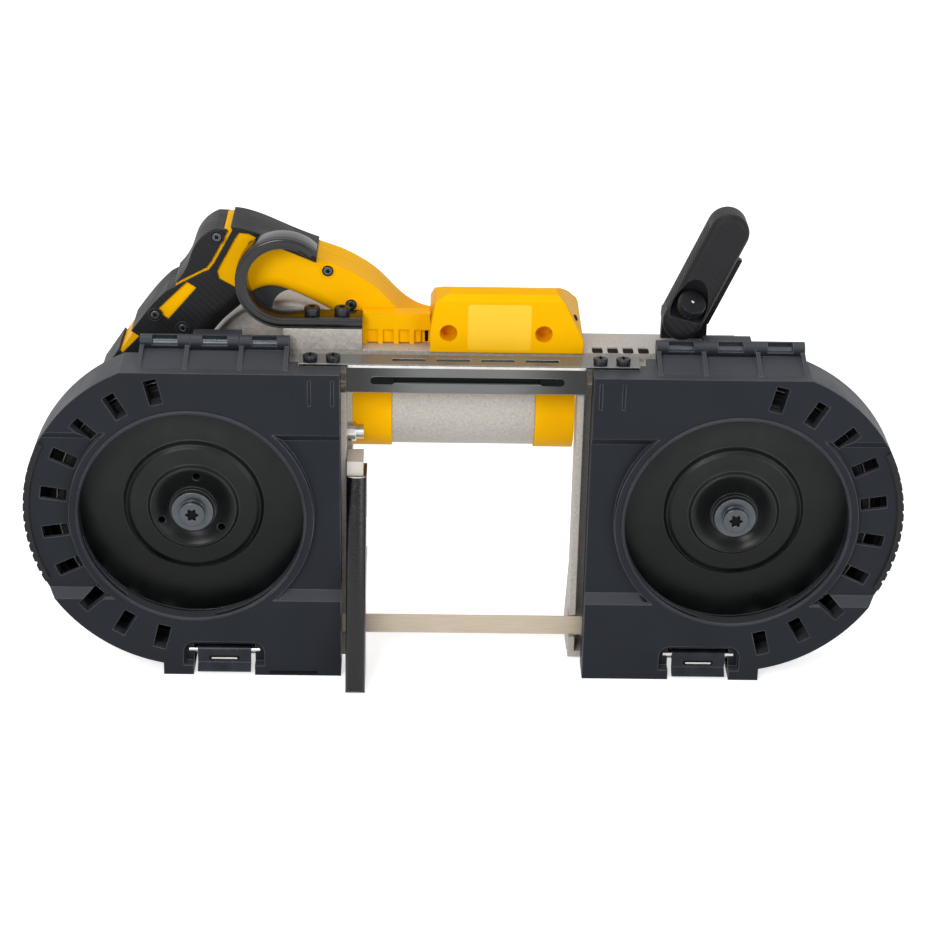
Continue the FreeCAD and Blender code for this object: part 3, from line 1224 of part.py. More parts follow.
def slanted_box(centre, lean, along_ends, across_ends, y_ends):
    """A block drawn along a leaning direction in XZ, about a centre."""
    block = Part.makeBox(along_ends[1] - along_ends[0], y_ends[1] - y_ends[0],
                         across_ends[1] - across_ends[0],
                         FreeCAD.Vector(along_ends[0], y_ends[0], across_ends[0]))
    block.Placement = FreeCAD.Placement(centre, FreeCAD.Rotation(Y_AXIS, -lean))
    return block


def trigger_block(along_ends, half_height, half_width):
    """A block on the trigger's line of travel, counted from the finger side inwards."""
    centre = FreeCAD.Vector(dim.trigger_x.number, 0, dim.trigger_z.number)
    middle = handle_y().number
    return slanted_box(centre, QUARTER_TURN + dim.trigger_lean.number, along_ends,
                       (-half_height, half_height), (middle - half_width, middle + half_width))


def finger_hollow(outside):
    """The round in the trigger's face for a finger."""
    turn = FreeCAD.Rotation(Y_AXIS, -QUARTER_TURN - dim.trigger_lean.number)
    ahead = turn.multVec(X_AXIS) * (outside + dim.finger_hollow.number - dim.finger_radius.number)
    centre = FreeCAD.Vector(dim.trigger_x.number, 0, dim.trigger_z.number) + ahead
    return Part.makeCylinder(dim.finger_radius.number, dim.wheel_spacing.number, centre, Y_AXIS)


def dock_block(grow):
    centre = FreeCAD.Vector(dim.dock_x.number, 0, dim.dock_z.number)
    half = dim.dock_length.number / 2 + grow
    thick = dim.dock_thick.number / 2 + grow
    wide = dim.dock_width.number / 2 + grow
    middle = handle_y().number
    return slanted_box(centre, -dim.dock_tilt.number, (-half, half), (-thick, thick),
                       (middle - wide, middle + wide))


def dock_shape():
    """The dock with a groove along each side for the pack's rails and slots for its contacts."""
    centre = FreeCAD.Vector(dim.dock_x.number, 0, dim.dock_z.number)
    half = dim.dock_length.number / 2
    floor = -dim.dock_thick.number / 2
    wide = dim.dock_width.number / 2
    middle = handle_y().number
    past = dim.overrun.number
    groove, depth = dim.dock_groove.number, dim.dock_groove_depth.number
    dock = dock_block(0)
    for side in (-1, 1):
        y_ends = sorted((middle + side * (wide - depth), middle + side * (wide + past)))
        dock = dock.cut(slanted_box(centre, -dim.dock_tilt.number, (-half - past, half - groove),
                                    (floor + groove, floor + 2 * groove), y_ends))
    contact, pitch = dim.terminal_width.number, dim.terminal_pitch.number
    for index in (-1, 0, 1):
        y = middle + index * pitch
        ends = (-half - past, dim.terminal_length.number - half)
        dock = dock.cut(slanted_box(centre, -dim.dock_tilt.number, ends, (floor - past, floor + groove),
                                    (y - contact / 2, y + contact / 2)))
    return dock


def button_shape(grow):
    """A button of oblong section that crosses the handle from side to side."""
    radius = dim.button_radius.number + grow
    half = dim.button_length.number / 2
    reach = dim.handle_width.number / 2 + dim.button_proud.number + grow
    start = handle_y().number - reach
    centre = FreeCAD.Vector(dim.button_x.number, start, dim.button_z.number)
    ends = [Part.makeCylinder(radius, 2 * reach, centre + X_AXIS * spot, Y_AXIS)
            for spot in (-half, half)]
    corner = centre - X_AXIS * half - Z_AXIS * radius
    middle = Part.makeBox(2 * half, 2 * reach, 2 * radius, corner)
    return middle.multiFuse(ends).removeSplitter()


def prism(shares):
    """A window through the handle from side to side, in shares of its outline."""
    points = [handle_point(*share) for share in shares]
    width = dim.dock_width.number * 2
    face = Part.Face(Part.makePolygon(points + points[:1]))
    return face.extrude(FreeCAD.Vector(0, width, 0))


def build_handle():
    gap = dim.body_gap.number
    half_height = dim.trigger_length.number / 2
    half_width = dim.trigger_width.number / 2
    outside = -dim.trigger_depth.number / 2
    inside = dim.trigger_depth.number / 2
    stop = inside + dim.trigger_travel.number + gap
    switch_end = stop + dim.trigger_length.number / 2
    cavity = trigger_block((outside - dim.overrun.number, stop), half_height + gap, half_width + gap)
    switch = trigger_block((stop, switch_end), half_height - dim.motor_wall.number, half_width)
    form = rounded_handle(0).cut(dock_block(0))
    hollow = form.cut(cavity).cut(switch).cut(button_shape(gap))
    middle = handle_y().number
    size = dim.wheel_spacing.number
    for label, start in (("handle_shell_front", middle - size), ("handle_shell_rear", middle)):
        half_space = Part.makeBox(2 * size, size, 2 * size, FreeCAD.Vector(-2 * size, start, 0))
        finish(shaped(hollow.common(half_space)), label)
    skin = rounded_handle(dim.skin_thick.number).cut(rounded_handle(0)).common(prism(GRIP_SHARES))
    for shares in GRIP_WINDOW_SHARES:
        skin = skin.cut(prism(shares))
    finish(shaped(skin.cut(dock_block(0)).cut(cavity)), "grip_overmold")
    plain = trigger_block((outside, inside), half_height, half_width)
    finish(shaped(plain.cut(finger_hollow(outside))), "trigger")
    finish(shaped(switch), "trigger_switch")
    finish(shaped(button_shape(0)), "lock_off_button")
    finish(shaped(dock_shape()), "battery_dock")


# Hook


def hook_screw_places():
    half = dim.hook_screw_pitch / 2
    return [-dim.hook_screw_place - half, half - dim.hook_screw_place]


def build_hook():
    """A flat bar bent back on itself to hang the saw, held by two screws."""
    y_ends = (dim.hook_front, dim.hook_front + dim.hook_width)
    low, high = dim.hook_seat, dim.hook_seat + dim.hook_thick
    centre = (dim.hook_x, (low + high) / 2 + dim.hook_radius)
    bend = cut(rod("y", centre, dim.hook_radius + dim.hook_thick / 2, y_ends),
               rod("y", centre, dim.hook_radius - dim.hook_thick / 2, y_ends),
               box((dim.hook_x, dim.hook_x + dim.hook_radius * 2), y_ends,
                   (low, centre[1] + dim.hook_radius * HOOK_TIP_SHARE)))
    bar = box((dim.hook_x, dim.hook_end), y_ends, (low, high))
    middle = dim.hook_front + dim.hook_width / 2
    holes = []
    screws = []
    for x in hook_screw_places():
        holes.append(rod("z", (x, middle), dim.screw_shank, (low - dim.overrun, high + dim.overrun)))
        head = rod("z", (x, middle), dim.hook_screw_radius, (high, high + dim.hook_screw_head))
        shank = rod("z", (x, middle), dim.screw_shank, (low - dim.screw_reach, high))
        screws.append(fuse(head, shank))
    finish(cut(fuse(bend, bar), *holes), "hang_hook")
    finish(group(*screws), "hook_screws")


# Front handle


def build_front_handle():
    """A paddle grip that swings on a boss of its bracket, with a lock knob in a round pocket."""
    pivot = FreeCAD.Vector(dim.grip_pivot_x.number, 0, dim.grip_pivot_z.number)
    radius = dim.grip_width.number / 2
    foot, length = dim.grip_foot.number, dim.grip_length.number
    front, thick = dim.grip_front.number, dim.grip_thick.number
    blank = Part.makeBox(foot + length, thick, 2 * radius, FreeCAD.Vector(-foot, front, -radius))
    ends = [Part.makeCylinder(radius, thick, FreeCAD.Vector(spot, front, 0), Y_AXIS)
            for spot in (-foot, length)]
    paddle = blank.multiFuse(ends).removeSplitter()
    rims = [edge for edge in paddle.Edges
            if abs(edge.BoundBox.YMax - edge.BoundBox.YMin) < dim.run_gap.number]
    paddle = paddle.makeFillet(radius * GRIP_ROUND_SHARE, rims)
    paddle.Placement = FreeCAD.Placement(pivot, FreeCAD.Rotation(Y_AXIS, -dim.grip_lean.number))
    gap, run = dim.body_gap.number, dim.run_gap.number
    boss = dim.pivot_radius.number
    back = front + thick
    depth = thick * BOSS_DEPTH_SHARE
    hole = Part.makeCylinder(boss + run, depth + gap,
                             FreeCAD.Vector(pivot.x, back - depth, pivot.z), Y_AXIS)
    knob_axis = FreeCAD.Vector(*KNOB_AXIS_SHARES).normalize()
    seat = FreeCAD.Vector(pivot.x, front, pivot.z) + Z_AXIS * (radius * KNOB_RISE_SHARE)
    knob_radius = dim.knob_radius.number
    pocket_depth = thick * KNOB_POCKET_SHARE
    pocket = Part.makeCylinder(knob_radius + dim.motor_wall.number, 2 * thick,
                               seat - knob_axis * pocket_depth, knob_axis)
    finish(shaped(paddle.cut(hole).cut(pocket)), "front_handle_grip")
    stem_start = seat - knob_axis * (pocket_depth - gap)
    stem = Part.makeCylinder(dim.knob_stem.number, pocket_depth, stem_start, knob_axis)
    cap = Part.makeCylinder(knob_radius, dim.knob_proud.number,
                            seat + knob_axis * gap, knob_axis)
    finish(shaped(stem.fuse(cap).removeSplitter()), "handle_lock_knob")
    thickness = dim.bracket_thick.number
    plate_y = back + gap
    half = dim.bracket_width.number / 2
    aside = dim.bracket_offset.number
    base = dim.pad_top.number
    y_ends = (plate_y, plate_y + thickness)
    arm = slanted_box(pivot, dim.grip_lean.number, (-boss, dim.bracket_length.number),
                      (-aside - half, half - aside), y_ends)
    foot_block = Part.makeBox(2 * half, thickness, dim.bracket_foot.number + boss,
                              FreeCAD.Vector(pivot.x - half, plate_y, base))
    pin = Part.makeCylinder(boss, depth + gap / 2,
                            FreeCAD.Vector(pivot.x, back - depth + gap / 2, pivot.z), Y_AXIS)
    limits = Part.makeBox(length * 4, length * 4, length * 4,
                          FreeCAD.Vector(pivot.x - length * 2, plate_y - length, base))
    bracket = arm.common(limits).multiFuse([foot_block, pin]).removeSplitter()
    finish(shaped(bracket), "front_handle_bracket")


# Blade tension


def build_tension():
    """The idler's carriage in a window of the frame, drawn by a lever on the frame's back."""
    centre = wheel_x(FRONT)
    half_x, half_z = dim.slide_length / 2, dim.slide_height / 2
    level = dim.axle_height
    front = dim.frame_back - dim.frame_plate
    flange = box((centre - half_x - dim.slide_thick,
                  centre + half_x + dim.slide_thick + dim.tension_travel),
                 (dim.frame_back + dim.seat_gap, dim.frame_back + dim.seat_gap + dim.slide_thick),
                 (level - half_z - dim.slide_thick, level + half_z + dim.slide_thick))
    neck = box((centre - half_x, centre + half_x), (front, dim.frame_back + dim.slide_thick),
               (level - half_z, level + half_z))
    finish(fuse(neck, flange), "tension_slide")
    stub = turned(axle_profile(dim.stub_radius, front))
    place(stub, centre, dim.plane_y, level)
    finish(stub, "idler_axle")
    lever_front = dim.frame_back + dim.slide_thick + dim.lever_gap
    y_ends = (lever_front, lever_front + dim.lever_thick)
    spot = (dim.lever_x, dim.lever_z)
    tip = (dim.lever_x + dim.lever_length, dim.lever_z)
    half = dim.lever_width / 2
    arm = box((dim.lever_x, dim.lever_x + dim.lever_length), y_ends,
              (dim.lever_z - half, dim.lever_z + half))
    pin = rod("y", spot, dim.lever_pin, (front, lever_front))
    ends = [rod("y", middle, half, y_ends) for middle in (spot, tip)]
    finish(fuse(arm, *ends, pin), "tension_lever")


STEPS = [build_frame, build_wheels, build_blade, build_guard, build_rail, build_latches,
         build_guides, build_work_stop, build_gears, build_gear_case, build_motor,
         build_motor_cover, build_handle, build_hook, build_front_handle, build_tension]


def main():
    for step in STEPS:
        step()
    doc.recompute()
    for thing in doc.Objects:
        if {"Invalid", "Error"} & set(thing.State):
            raise RuntimeError(f"{thing.Name} {thing.Label} failed: {thing.State}")
    os.makedirs("parts", exist_ok=True)
    for label, thing in finished.items():
        if thing.Shape.isNull() or not thing.Shape.isValid():
            raise RuntimeError(f"{label} has no valid shape")
        thing.Shape.exportStep(f"parts/{label}.step")


main()
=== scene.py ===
"""Dresses the portable band saw: finishes for its solids, small details, stage and camera."""
import math

import bmesh
import bpy
from mathutils import Matrix, Vector


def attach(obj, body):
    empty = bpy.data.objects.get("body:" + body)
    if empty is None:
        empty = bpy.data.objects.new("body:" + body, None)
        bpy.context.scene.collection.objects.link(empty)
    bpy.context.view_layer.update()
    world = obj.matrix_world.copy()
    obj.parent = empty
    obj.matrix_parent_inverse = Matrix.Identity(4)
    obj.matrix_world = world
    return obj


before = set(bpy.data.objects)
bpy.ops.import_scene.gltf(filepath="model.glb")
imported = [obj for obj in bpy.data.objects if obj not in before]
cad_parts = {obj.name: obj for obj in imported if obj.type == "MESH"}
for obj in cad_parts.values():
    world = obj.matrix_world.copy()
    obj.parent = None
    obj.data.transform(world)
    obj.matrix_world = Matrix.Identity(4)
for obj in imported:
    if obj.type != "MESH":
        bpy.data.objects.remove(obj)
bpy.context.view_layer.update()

bl_info = {
    "name": "Portable band saw",
    "version": (1, 0, 0),
    "blender": (4, 5, 0),
    "location": "View3D > Sidebar > Band Saw",
    "description": "Finishes, details and stage of a portable band saw",
    "category": "Object",
}

# places and sizes below are in millimetres, with y counted from the blade's plane
MM = 0.001
BLADE_Y = -20.75
ASIDE, FRONTWARD, UP = Vector((1, 0, 0)), Vector((0, -1, 0)), Vector((0, 0, 1))
QUARTER = math.radians(90)
WHEEL_X, AXLE_Z = 165.0, 108.0


def hex_linear(code):
    """An sRGB hex value as linear red, green, blue and alpha."""
    channels = [int(code[start:start + 2], 16) / 255 for start in (1, 3, 5)]
    linear = (c / 12.92 if c <= 0.04045 else ((c + 0.055) / 1.055) ** 2.4 for c in channels)
    return (*linear, 1.0)


def add(tree, kind, inputs=None, **settings):
    """Adds a shader node; inputs given as sockets are linked, others set, hex values as colours."""
    node = tree.nodes.new(f"ShaderNode{kind}")
    for name, value in settings.items():
        setattr(node, name, value)
    for name, value in (inputs or {}).items():
        if isinstance(value, bpy.types.NodeSocket):
            tree.links.new(value, node.inputs[name])
        else:
            node.inputs[name].default_value = hex_linear(value) if isinstance(value, str) else value
    return node


def start(name):
    """A fresh material, its tree and its shader, which is joined to the output."""
    material = bpy.data.materials.new(name)
    material.use_nodes = True
    tree = material.node_tree
    tree.nodes.clear()
    shader = add(tree, "BsdfPrincipled")
    add(tree, "OutputMaterial", {"Surface": shader.outputs["BSDF"]})
    return material, tree, shader


# the cosines between an edge's rounded and flat normals where its wear and painted highlight start and
# are full, and the noise values that blotches span
EDGE_FLAT, EDGE_ROUND = 0.99, 0.8
BLOTCH_LOW, BLOTCH_HIGH = 0.3, 0.7


def surface(light, dark, blotch, rough, grain, bump, edge=None, stretch=None, specular=0.5,
            metallic=0.0):
    """A material whose colour and roughness drift in blotches, over a fine grain, with edges paled by
    wear and by a painted highlight.

    light is a hex value or a set colour, blotch and grain are sizes in millimetres, rough the
    lowest and highest roughness, bump the grain's depth in millimetres and its strength, and edge
    the colour of the edges' wear and painted highlight, its share and the rounding of edges in
    millimetres.
    """
    material, tree, shader = start("finish")
    shader.inputs["Specular IOR Level"].default_value = specular
    shader.inputs["Metallic"].default_value = metallic
    place = add(tree, "TexCoord").outputs["Object"]
    if stretch:
        place = add(tree, "Mapping", {"Vector": place, "Scale": stretch}).outputs["Vector"]
    drift = add(tree, "TexNoise", {"Vector": place, "Scale": 1 / (blotch * MM), "Detail": 4.0})
    drift = drift.outputs["Fac"]
    colour = add(tree, "Mix", {"Factor": drift, "A": dark, "B": light[:]},
                 data_type="RGBA").outputs["Result"]
    fine = add(tree, "TexNoise", {"Vector": place, "Scale": 1 / (grain * MM), "Detail": 3.0})
    relief = {"Height": fine.outputs["Fac"], "Strength": bump[1], "Distance": bump[0] * MM}
    # edges are paled both by wear and by a painted highlight
    if edge:
        wear_and_highlight, share, rounding = edge
        soft = add(tree, "Bevel", {"Radius": rounding * MM}, samples=4).outputs["Normal"]
        relief["Normal"] = soft
        flat = add(tree, "NewGeometry").outputs["Normal"]
        along = add(tree, "VectorMath", {0: soft, 1: flat}, operation="DOT_PRODUCT")
        rim = add(tree, "MapRange", {"Value": along.outputs["Value"], "From Min": EDGE_FLAT,
                                     "From Max": EDGE_ROUND, "To Max": share})
        patchy = add(tree, "Math", {0: rim.outputs["Result"], 1: drift}, operation="MULTIPLY")
        colour = add(tree, "Mix", {"Factor": patchy.outputs["Value"], "A": colour, "B": wear_and_highlight},
                     data_type="RGBA").outputs["Result"]
    tree.links.new(colour, shader.inputs["Base Color"])
    spread = add(tree, "MapRange", {"Value": drift, "From Min": BLOTCH_LOW, "From Max": BLOTCH_HIGH,
                                    "To Min": rough[0], "To Max": rough[1]})
    tree.links.new(spread.outputs["Result"], shader.inputs["Roughness"])
    tree.links.new(add(tree, "Bump", relief).outputs["Normal"], shader.inputs["Normal"])
    return material


def shader_of(tree):
    """The shader of a material's tree."""
    return next(node for node in tree.nodes if node.bl_idname == "ShaderNodeBsdfPrincipled")


def recolour(tree, mask, colour):
    """Lays a colour over a material's own colour where a mask is 1."""
    target = shader_of(tree).inputs["Base Color"]
    mix = add(tree, "Mix", {"Factor": mask, "A": target.links[0].from_socket, "B": colour[:]},
              data_type="RGBA")
    tree.links.new(mix.outputs["Result"], target)


def emboss(tree, height, depth, strength=1.0):
    """Adds a height from 0 to 1, over a depth in millimetres, to a material's own relief."""
    target = shader_of(tree).inputs["Normal"]
    bump = add(tree, "Bump", {"Height": height, "Strength": strength, "Distance": depth * MM,
                              "Normal": target.links[0].from_socket})
    tree.links.new(bump.outputs["Normal"], target)


def coordinates(tree, kind="Object"):
    """The X, Y and Z sockets of a texture coordinate."""
    return add(tree, "SeparateXYZ", {0: add(tree, "TexCoord").outputs[kind]}).outputs


def looking_up(tree, tilt, share):
    """A mask that grows to a share as the normal's height goes from the first tilt to the second."""
    return add(tree, "MapRange", {"Value": coordinates(tree, "Normal")["Z"], "From Min": tilt[0],
                                  "From Max": tilt[1], "To Max": share}).outputs["Result"]


def wheel_frame(tree, place):
    """The distance from the saw's middle, the way from the nearer wheel's axle, and its length."""
    across = add(tree, "Math", {0: place["X"]}, operation="ABSOLUTE").outputs["Value"]
    aside = add(tree, "Math", {0: across, 1: WHEEL_X * MM}, operation="SUBTRACT")
    above = add(tree, "Math", {0: place["Z"], 1: AXLE_Z * MM}, operation="SUBTRACT")
    around = add(tree, "CombineXYZ", {"X": aside.outputs["Value"], "Z": above.outputs["Value"]})
    reach = add(tree, "VectorMath", {0: around.outputs["Vector"]}, operation="LENGTH")
    return across, around.outputs["Vector"], reach.outputs["Value"]


# a wave texture of scale 1 repeats after this many metres
WAVE_REPEAT = 0.314
TOP_LIGHT_TILT, TOP_LIGHT_SHARE = (0.2, 0.75), 0.3
GRIP_LINE_PITCH, GRIP_LINE_DEPTH = 2.4, 0.25
SHADE_WELL_RADIUS, SHADE_WELL_X, SHADE_WELL_Y = 101.0, 86.0, 17.0
REFLECTION_X, REFLECTION_TOP = (66.0, 20.0), 203.5
FLANGE_REFLECTION_TILT, FLANGE_REFLECTION_SHARE = (0.7, 0.95), 0.5
TURNING_PITCH, TURNING_DEPTH = 1.6, 0.05
BOWL_RADII, BOWL_DEPTH = (13.5, 27.0), 7.0
STEP_RADII, STEP_DEPTH = (41.5, 37.5), 1.8
STREAK_SIZE, STREAK_Z, STREAK_SHARE = 22.0, (80.0, 170.0), 0.5
STOP_TOP = 129.0


def moulded_abs_guard():
    """Spark-textured ABS: dark blue-grey, with a fine even grain that kills sharp highlights.

    The real grain is a few hundredths of a millimetre and is drawn coarser, so that it shows.
    """
    material = surface(
        colours().guard, "#171A20", blotch=26.0, rough=(0.4, 0.54), grain=0.7,
        bump=(0.1, 0.35), edge=("#8A8D94", 1.0, 0.9), specular=0.13)
    # a paler grey on the slopes that look up when the guard is shut, a painted top light
    tree = material.node_tree
    recolour(tree, looking_up(tree, TOP_LIGHT_TILT, TOP_LIGHT_SHARE), "#6B6E74")
    return material


def filled_nylon_yellow():
    """Glass-filled nylon, moulded satin: strong yellow with a soft broad highlight."""
    return surface(
        colours().yellow, "#F3B000", blotch=32.0, rough=(0.4, 0.52), grain=0.9,
        bump=(0.06, 0.25), edge=("#FFCE33", 0.5, 0.9), specular=0.04)


def overmould_rubber():
    """Soft rubber moulded over the grip: matt, with a leathery grain and fine grip lines."""
    material = surface(
        colours().rubber, "#161618", blotch=18.0, rough=(0.44, 0.6), grain=1.2,
        bump=(0.2, 0.5), edge=("#6A6A6C", 0.8, 1.0), specular=0.2)
    tree = material.node_tree
    place = add(tree, "TexCoord").outputs["Object"]
    lines = add(tree, "TexWave", {"Vector": place, "Scale": WAVE_REPEAT / (GRIP_LINE_PITCH * MM),
                                  "Distortion": 0.6}, bands_direction="DIAGONAL")
    emboss(tree, lines.outputs["Fac"], GRIP_LINE_DEPTH, strength=0.35)
    return material


def blasted_aluminium():
    """Shot-blasted die casting: pale warm grey, sandy, with broad dull reflections.

    The sand-like pits are about 0.2 mm and are drawn at 0.8 mm, so that they show.
    """
    material = surface(
        colours().silver, "#8F8A84", blotch=1.6, rough=(0.44, 0.6), grain=0.8,
        bump=(0.16, 0.7), edge=("#E6E2DC", 0.7, 0.7), metallic=0.3)
    # the casting in the wells behind the wheels is darkened to near black, a painted shade
    tree = material.node_tree
    place = coordinates(tree)
    across, around, reach = wheel_frame(tree, place)
    inside = 1.0
    for value, test, limit in ((reach, "LESS_THAN", SHADE_WELL_RADIUS), (across, "GREATER_THAN", SHADE_WELL_X),
                               (place["Y"], "LESS_THAN", SHADE_WELL_Y + BLADE_Y)):
        met = add(tree, "Math", {0: value, 1: limit * MM}, operation=test).outputs["Value"]
        inside = add(tree, "Math", {0: inside, 1: met}, operation="MULTIPLY").outputs["Value"]
    recolour(tree, inside, "#0A0B0C")
    return material


def stove_enamel():
    """Stoved black enamel on steel bar: deep, smooth, with clear streaks of reflected light."""
    material = surface(
        colours().enamel, "#050506", blotch=40.0, rough=(0.2, 0.28), grain=2.5,
        bump=(0.04, 0.2), edge=("#77787C", 0.3, 0.6), specular=0.3)
    shader = shader_of(material.node_tree)
    shader.inputs["Coat Weight"].default_value = 0.3
    shader.inputs["Coat Roughness"].default_value = 0.08
    return material


def black_nickel():
    """Black-nickel plated sheet steel: a dark mirror, with a painted reflection that makes the middle
    of its face paler.
    """
    material = surface(
        "#161718", "#0B0C0D", blotch=30.0, rough=(0.24, 0.34), grain=2.0,
        bump=(0.03, 0.2), edge=("#E0E0DF", 1.6, 0.8), stretch=(0.2, 1.0, 1.0), metallic=0.15)
    tree = material.node_tree
    place = coordinates(tree)
    # a painted reflection: the middle of the face, below the flange, is paler grey
    across = add(tree, "Math", {0: place["X"]}, operation="ABSOLUTE")
    reflection_band = add(tree, "MapRange", {"Value": across.outputs["Value"], "From Min": REFLECTION_X[0] * MM,
                                    "From Max": REFLECTION_X[1] * MM}, interpolation_type="SMOOTHSTEP")
    below = add(tree, "Math", {0: place["Z"], 1: REFLECTION_TOP * MM}, operation="LESS_THAN")
    face = add(tree, "Math", {0: reflection_band.outputs["Result"], 1: below.outputs["Value"]},
               operation="MULTIPLY")
    recolour(tree, face.outputs["Value"], "#636564")
    # the flange on top is painted a dull grey, a painted reflection of the light above it
    recolour(tree, looking_up(tree, FLANGE_REFLECTION_TILT, FLANGE_REFLECTION_SHARE), "#8C8C8A")
    return material


def coated_wheel():
    """Black-coated wheel casting, turned on a lathe: fine rings and smudges under a dull coat."""
    material = surface(
        colours().wheel, "#060707", blotch=17.0, rough=(0.26, 0.42), grain=0.8,
        bump=(0.08, 0.3), edge=("#6A6D70", 0.9, 1.4), specular=0.16)
    tree = material.node_tree
    place = coordinates(tree)
    across, around, reach = wheel_frame(tree, place)
    rings = add(tree, "TexWave", {"Vector": around, "Scale": WAVE_REPEAT / (TURNING_PITCH * MM),
                                  "Distortion": 0.4}, wave_type="RINGS", rings_direction="Y")
    emboss(tree, rings.outputs["Fac"], TURNING_DEPTH, strength=0.12)
    # a bowl round the bolt and a step half way out
    for radii, depth in ((BOWL_RADII, BOWL_DEPTH), (STEP_RADII, STEP_DEPTH)):
        slope = add(tree, "MapRange", {"Value": reach, "From Min": radii[0] * MM,
                                       "From Max": radii[1] * MM}, interpolation_type="SMOOTHSTEP")
        emboss(tree, slope.outputs["Result"], depth)
    # paler grey streaks that grow stronger towards the top of the wheel
    streak_noise = add(tree, "TexNoise", {"Vector": around, "Scale": 1 / (STREAK_SIZE * MM), "Detail": 6.0})
    high = add(tree, "MapRange", {"Value": place["Z"], "From Min": STREAK_Z[0] * MM,
                                  "From Max": STREAK_Z[1] * MM, "To Max": STREAK_SHARE})
    film = add(tree, "Math", {0: streak_noise.outputs["Fac"], 1: high.outputs["Result"]}, operation="MULTIPLY")
    recolour(tree, film.outputs["Value"], "#3E4040")
    return material


def blade_steel():
    """Ground spring steel: long scratches along the blade and a warm grey shine."""
    return surface(
        colours().blade, "#A3967F", blotch=0.6, rough=(0.34, 0.44), grain=0.5,
        bump=(0.04, 0.25), edge=("#EFE6D8", 0.5, 0.3), stretch=(0.03, 1.0, 1.0), metallic=0.6)


def ground_steel():
    """Bright ground steel for pins, shafts and bearings, with fine marks of the wheel."""
    return surface(
        "#D6D4D1", "#B4B2AF", blotch=6.0, rough=(0.2, 0.34), grain=0.6,
        bump=(0.03, 0.3), metallic=1.0)


def oxide_steel():
    """Black-oxide steel: dark blue-grey metal with a low oily gloss."""
    return surface(
        "#3A3D42", "#1F2124", blotch=7.0, rough=(0.28, 0.42), grain=0.8,
        bump=(0.05, 0.3), edge=("#8A8E94", 0.7, 0.5), metallic=0.75)


def grey_phosphate():
    """Phosphated steel of the wheel bolts: a lighter blue-grey than black oxide."""
    return surface(
        "#565C61", "#3A3F43", blotch=6.0, rough=(0.26, 0.4), grain=0.8,
        bump=(0.04, 0.25), edge=("#B5BBC0", 0.9, 0.6), metallic=0.7)


def blued_steel():
    """Heat-blued sheet steel of the latches: dark, with a soft metal sheen."""
    return surface(
        "#2E3239", "#1A1C21", blotch=10.0, rough=(0.22, 0.36), grain=0.9,
        bump=(0.04, 0.2), edge=("#9AA0A8", 0.8, 0.6), metallic=0.8)


def spark_nylon():
    """Black nylon with a coarse spark texture that catches the light in grains."""
    return surface(
        "#1C1E21", "#0C0D0F", blotch=9.0, rough=(0.34, 0.5), grain=1.1,
        bump=(0.25, 0.8), edge=("#7D8086", 0.9, 0.9), specular=0.18)


def wrinkle_paint():
    """Wrinkle-finish black paint on the work stop: glossy grains; its tang is left bare."""
    material = surface(
        "#0E0F11", "#050506", blotch=9.0, rough=(0.14, 0.26), grain=1.3,
        bump=(0.25, 0.7), edge=("#8D9096", 1.0, 0.9), specular=0.35)
    tree = material.node_tree
    over = add(tree, "Math", {0: coordinates(tree)["Z"], 1: STOP_TOP * MM}, operation="GREATER_THAN")
    recolour(tree, over.outputs["Value"], colours().silver)
    return material


def acetal_grey():
    """Dark grey acetal, smooth where a finger rubs it."""
    return surface(
        "#3C3D40", "#2C2D2F", blotch=14.0, rough=(0.36, 0.48), grain=1.0,
        bump=(0.05, 0.2), edge=("#77797C", 0.5, 0.8), specular=0.35)


def tyre_rubber():
    """Ribbed black rubber: matt, slightly dusty."""
    return surface(
        "#232425", "#151516", blotch=8.0, rough=(0.62, 0.78), grain=1.2,
        bump=(0.15, 0.5), edge=("#4C4D4E", 0.5, 0.6), specular=0.25)


def label_film():
    """Bare polyester film stuck on the motor cover: a little paler and glossier than the nylon."""
    return surface(
        "#FFCB2B", "#FBC21C", blotch=20.0, rough=(0.28, 0.36), grain=1.5,
        bump=(0.02, 0.15), specular=0.35)


def shadowed_hollow():
    """The unlit inside of a slot or recess: near-black plastic that gives back almost no light."""
    return surface(
        "#121315", "#08090A", blotch=5.0, rough=(0.7, 0.85), grain=0.9,
        bump=(0.05, 0.2), specular=0.1)


FINISHES = {
    blasted_aluminium: ["frame_casting", "gear_case", "motor_sleeve"],
    moulded_abs_guard: ["rear_wheel_cover", "front_wheel_cover", "hinge_brackets"],
    filled_nylon_yellow: ["motor_cover", "handle_shell_front", "handle_shell_rear", "motor_cap_rear",
                          "motor_cap_front"],
    overmould_rubber: ["grip_overmold", "front_handle_grip"],
    tyre_rubber: ["guard_bumpers", "drive_tyre", "idler_tyre"],
    coated_wheel: ["drive_wheel", "idler_wheel"],
    blade_steel: ["blade"],
    ground_steel: ["drive_axle", "drive_gear", "cross_shaft", "cross_pinion", "bevel_gear",
                   "bevel_pinion", "motor_shaft", "latch_pins", "idler_axle", "drive_bearing",
                   "idler_bearing", "cross_bearings", "motor_bearings", "motor_rotor", "motor_stator",
                   "rear_outer_roller", "rear_inner_roller", "front_outer_roller",
                   "front_inner_roller"],
    grey_phosphate: ["drive_wheel_bolt", "idler_wheel_bolt", "hinge_pins"],
    oxide_steel: ["rail_screws", "hook_screws", "work_stop_bolt", "tension_lever", "tension_slide",
                  "rear_guide_block", "front_guide_block"],
    blued_steel: ["rear_latch", "front_latch"],
    stove_enamel: ["hang_hook"],
    black_nickel: ["blade_rail"],
    wrinkle_paint: ["work_stop"],
    spark_nylon: ["battery_dock", "trigger_switch", "handle_lock_knob", "lock_off_button",
                  "front_handle_bracket"],
    acetal_grey: ["trigger"],
    # for added pieces alone
    label_film: [],
    shadowed_hollow: [],
}


